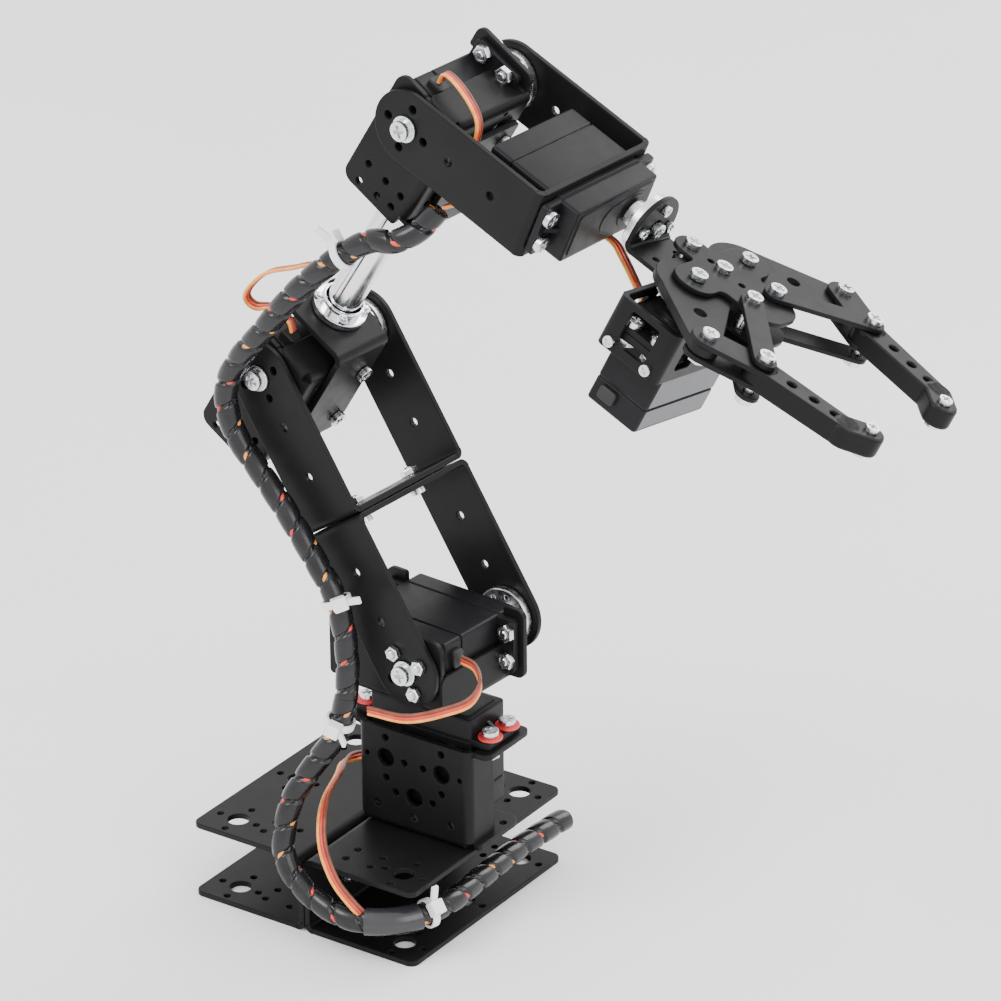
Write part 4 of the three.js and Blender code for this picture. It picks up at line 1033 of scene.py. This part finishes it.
# Three-wire leads: points, and the way across the ribbon at its first and last point
LEADS = {
    "waist_lead": ("base", [Vector(p) for p in (
        (-0.0009, 0.0069, 0.0436), (-0.005, 0.0055, 0.0438), (-0.0085, -0.006, 0.046),
        (-0.002, -0.02, 0.0486), (0.0027, -0.035, 0.0451), (0.009, -0.045, 0.0366),
        (0.017, -0.0495, 0.0275), (0.025, -0.051, 0.0218),
    )], (0, 1, 0), (0.4, 0.3, 0.9)),
    "shoulder_lead": ("turntable", [arm_point(*p) for p in (
        (0.0344, -0.0148, 0.1022), (0.04, -0.0153, 0.1015), (0.0448, -0.0185, 0.098),
        (0.045, -0.024, 0.094), (0.038, -0.0287, 0.09), (0.026, -0.0333, 0.0856),
        (0.0105, -0.0346, 0.0842),
    )], (0, 0, 1), (0, 0, 1)),
    "elbow_lead": ("forearm", [arm_point(*p) for p in (
        (-0.0344, -0.0148, 0.2009), (-0.0352, -0.0152, 0.2044), (-0.041, -0.017, 0.2084),
        (-0.0436, -0.023, 0.2105), (-0.0425, -0.028, 0.2165), (-0.034, -0.0285, 0.226),
        (-0.021, -0.029, 0.2318), (-0.0135, -0.0293, 0.2348),
    )], (0, 1, 0), (0, 1, 0)),
    "wrist_lead": ("forearm", [arm_point(*p) for p in (
        (0.0291, -0.0148, 0.303), (0.0315, -0.0152, 0.3061), (0.0388, -0.0165, 0.3034),
        (0.0466, -0.018, 0.2952), (0.046, -0.0185, 0.2882), (0.0394, -0.019, 0.2765),
        (0.0346, -0.0196, 0.2669),
    )], (0, 1, 0), (0, 1, 0)),
    "hand_lead": (("forearm", "hand"), [arm_point(*p) for p in (
        (0.0326, -0.0186, 0.2626), (0.0375, -0.016, 0.2645), (0.045, -0.01, 0.2658),
        (0.055, -0.001, 0.2614), (0.0655, 0.008, 0.2574),
    )], (0, 1, 0), (0, 0, 1)),
    "gripper_lead": (("hand", "gripper"), [hand_point(*p) for p in (
        (0.0504, 0.0083, -0.0146), (0.0565, 0.011, -0.015), (0.063, 0.011, -0.0146),
        (0.07, 0.007, -0.014), (0.08, 0.0014, -0.0144), (0.0879, -0.0022, -0.016),
    )], (0, 1, 0), (0, 1, 0)),
}
WIRE_R = 0.00062
# Where the wires of two leads run on under the wrap of the bundle, past the end of their CAD solids
UNDER_WRAP = {
    "waist_lead": Vector((0.0288, -0.0484, 0.0162)),
    "elbow_lead": arm_point(-0.0065, -0.0333, 0.2355),
}


def smooth_route(points):
    """Centripetal Catmull-Rom curve through the points"""
    ends = [points[0] * 2 - points[1], *points, points[-1] * 2 - points[-2]]
    route = []
    for p0, p1, p2, p3 in zip(ends, ends[1:], ends[2:], ends[3:]):
        t0 = 0
        t1 = t0 + (p1 - p0).length ** 0.5
        t2 = t1 + (p2 - p1).length ** 0.5
        t3 = t2 + (p3 - p2).length ** 0.5
        for k in range(SPAN_STEPS):
            t = t1 + (t2 - t1) * k / SPAN_STEPS
            a1 = p0.lerp(p1, (t - t0) / (t1 - t0))
            a2 = p1.lerp(p2, (t - t1) / (t2 - t1))
            a3 = p2.lerp(p3, (t - t2) / (t3 - t2))
            b1 = a1.lerp(a2, (t - t0) / (t2 - t0))
            b2 = a2.lerp(a3, (t - t1) / (t3 - t1))
            route.append(b1.lerp(b2, (t - t1) / (t2 - t1)))
    return route + [points[-1]]


def evenly(route, step):
    """The same route with points a step apart"""
    lengths = [0.0]
    for a, b in zip(route, route[1:]):
        lengths.append(lengths[-1] + (b - a).length)
    count = max(2, round(lengths[-1] / step))
    even, k = [], 0
    for i in range(count + 1):
        want = lengths[-1] * i / count
        while k < len(route) - 2 and lengths[k + 1] < want:
            k += 1
        span = lengths[k + 1] - lengths[k]
        even.append(route[k].lerp(route[k + 1], (want - lengths[k]) / span))
    return even


def frames_along(route, across):
    """Each point of a route with its side and normal; the side is carried along without twist"""
    found = []
    side = Vector(across)
    for i, point in enumerate(route):
        tangent = (route[min(i + 1, len(route) - 1)] - route[max(i - 1, 0)]).normalized()
        side = (side - tangent * side.dot(tangent)).normalized()
        found.append((point, side, tangent.cross(side)))
    return found


def sweep(frames, radius_at, sides):
    """Closed tube along frames; radius_at(step, angle) gives its radius"""
    points, faces = [], []
    for i, (centre, side, normal) in enumerate(frames):
        for k in range(sides):
            a = 2 * math.pi * k / sides
            points.append(centre + (side * math.cos(a) + normal * math.sin(a)) * radius_at(i, a))
    for i in range(len(frames) - 1):
        for k in range(sides):
            n = (k + 1) % sides
            faces.append([i * sides + k, i * sides + n, (i + 1) * sides + n, (i + 1) * sides + k])
    faces.append(list(range(sides))[::-1])
    faces.append([(len(frames) - 1) * sides + k for k in range(sides)])
    return from_faces(points, faces)


def follow(piece, bodies):
    """The piece rides on one body; a piece between two bodies is fixed where it stands"""
    if isinstance(bodies, str):
        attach(piece, bodies)
    else:
        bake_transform(piece)


def wrap_radius(along, angle):
    """Spiral wrap: a raised band, rounded at its edges, with a narrow gap between its turns"""
    turn_share = (along / WRAP.pitch - angle / (2 * math.pi)) % 1
    edge = min(turn_share, WRAP.band - turn_share)
    if edge <= 0:
        return BUNDLE_R - WRAP.t
    rise = min(1, edge / WRAP.edge)
    crown = math.sin(math.pi * turn_share / WRAP.band)
    return BUNDLE_R - WRAP.t * (1 - rise) ** 2 - WRAP.hollow * (1 - crown)


def make_bundle():
    """The sleeved bundle: wires inside a spiral wrap, split where it changes body"""
    route = smooth_route(BUNDLE)
    step = WRAP.pitch / WRAP.steps
    travelled = 0.0
    side = Vector((0, 0, 1))
    stretches = []
    for name, first, last, bodies in BUNDLE_PARTS:
        stretch = evenly(route[first * SPAN_STEPS:last * SPAN_STEPS + 1], step)
        frames = frames_along(stretch, side)
        side = frames[-1][1]
        offset = travelled
        travelled += step * (len(stretch) - 1)
        part = Piece(f"{name}_wrap", Matrix())
        part.add(sweep(frames, lambda i, a: wrap_radius(offset + i * step, a), WRAP.sides), SLEEVE)
        for k, finish in enumerate(BUNDLE_WIRES):
            wire = []
            for i, (centre, across, normal) in enumerate(frames):
                a = (offset + i * step) / WIRE_LAY * 2 * math.pi + k * math.pi / 3
                out = across * math.cos(a) + normal * math.sin(a)
                wire.append((centre + out * STRAND_OFF, across, normal))
            part.add(sweep(wire[::3] + [wire[-1]], lambda i, a: STRAND_R, 8), finish)
        piece = part.done(None, "cable_sleeve", name, smooth=60)
        follow(piece, bodies)
        stretches.append(stretch)
    return stretches


def make_leads():
    """Flat leads of three moulded wires"""
    for name, (bodies, points, first, last) in LEADS.items():
        inside = [UNDER_WRAP[name]] if name in UNDER_WRAP else []
        route = evenly(smooth_route(points + inside), LEAD_STEP)
        frames = []
        for i, (centre, side, normal) in enumerate(frames_along(route, first)):
            want = Vector(first).lerp(Vector(last), i / (len(route) - 1))
            tangent = side.cross(normal)
            side = (want - tangent * want.dot(tangent)).normalized()
            frames.append((centre, side, tangent.cross(side)))
        part = Piece(f"{name}_wires", Matrix())
        for k, finish in enumerate(WIRES):
            off = (k - 1) * WIRE_R * 1.9
            part.add(sweep([(c + s * off, s, n) for c, s, n in frames], lambda i, a: WIRE_R, 12), finish)
        piece = part.done(None, "servo_lead", name, smooth=60)
        follow(piece, bodies)


def make_tie(name, body, at, along, tail):
    """Cable tie round the bundle: a band, its square head and the cut tail"""
    at, along, tail = Vector(at), Vector(along).normalized(), Vector(tail)
    out = (tail - along * tail.dot(along)).normalized()
    part = Piece(name, place(at, out, along))
    r = BUNDLE_R / MM
    part.add(tube(r + 1.1, r + 0.1, -1.3, 1.3, 0.25, 40), TIE)
    part.add(sheet(slab(-2.2, -2.4, 2.2, 2.4, 0.5), -2.3, 2.3, (), 0.4), TIE, shift(r + 2.2, 0, 0))
    part.add(sheet(slab(0, -1.2, 7.5, 1.2, 0.3), -0.5, 0.5, (), 0.15), TIE,
             shift(r + 1.6, 1.6, 0) @ turn(38, "Z") @ turn(90, "X"))
    part.done(body, "cable_sleeve")


def make_ties(stretches):
    base, waist, shoulder, _, _, forearm = stretches
    # Tie, its body, the stretch it is on, its share of the way along and the way its tail points
    spots = [
        ("tie_base_front", "base", base, 0.57, (0.3, -1, 0.5)),
        ("tie_waist", "turntable", waist, 0.84, (0.2, -1, -0.2)),
        ("tie_upper_arm", "upper_arm", shoulder, 0.7, (0.6, -0.6, 0.3)),
        ("tie_forearm", "forearm", forearm, 0.55, (0.3, 0.2, 1)),
    ]
    for name, body, stretch, share, tail in spots:
        i = min(len(stretch) - 2, int(share * len(stretch)))
        make_tie(name, body, stretch[i], stretch[i + 1] - stretch[i], tail)


def make_sheath(stretch):
    """Grey tubing over the bundle where it turns round the front of the base"""
    low, high = (int(share * len(stretch)) for share in (0.6, 0.73))
    frames = frames_along(stretch[low:high], (0, 0, 1))
    part = Piece("cable_sheath", Matrix())
    part.add(sweep(frames, lambda i, a: BUNDLE_R + 0.0006 + 0.00012 * math.cos(3 * a), 28), SHEATH)
    part.done("base", "cable_sleeve", smooth=60)


# ---- Stage

def make_stage():
    """Pale floor and soft studio light"""
    pale = surface("pale_floor", (0.86, 0.86, 0.86), (0.9, 0.9, 0.9), (0.6, 0.75), mottle=4, grain=200)
    corners = [(-4, -4, 0), (4, -4, 0), (4, 4, 0), (-4, 4, 0)]
    floor = bpy.data.objects.new("floor", from_faces(corners, [[0, 1, 2, 3]]))
    floor.data.materials.append(pale)
    bpy.context.scene.collection.objects.link(floor)
    world = bpy.data.worlds.new("studio")
    world.use_nodes = True
    sky = world.node_tree.nodes["Background"]
    sky.inputs["Color"].default_value = (1, 1, 1, 1)
    sky.inputs["Strength"].default_value = 1.8
    bpy.context.scene.world = world
    middle = (CAD_BOX[0] + CAD_BOX[1]) / 2
    # Lamp, its place from the middle of the arm, its size and its power
    lights = [
        ("key", (-0.5, -0.9, 1.3), 0.7, 16),
        ("fill", (1.2, -0.5, 0.7), 0.9, 9),
        ("rim", (0.3, 1.2, 0.9), 0.8, 12),
    ]
    for name, offset, size, power in lights:
        data = bpy.data.lights.new(name, "AREA")
        data.size = size
        data.energy = power
        lamp = bpy.data.objects.new(name, data)
        lamp.location = middle + Vector(offset)
        lamp.rotation_mode = "QUATERNION"
        lamp.rotation_quaternion = (-Vector(offset)).to_track_quat("-Z", "Y")
        bpy.context.scene.collection.objects.link(lamp)


# ---- Scene

random.seed(7)
make_camera()
stretches = make_bundle()
make_leads()
make_ties(stretches)
make_sheath(stretches[0])
make_base()
make_waist()
hinge_unit("shoulder", AT_SHOULDER, "turntable")
make_upper_arm()
make_forearm()
make_hand()
make_gripper()
make_stage()

bpy.context.view_layer.update()
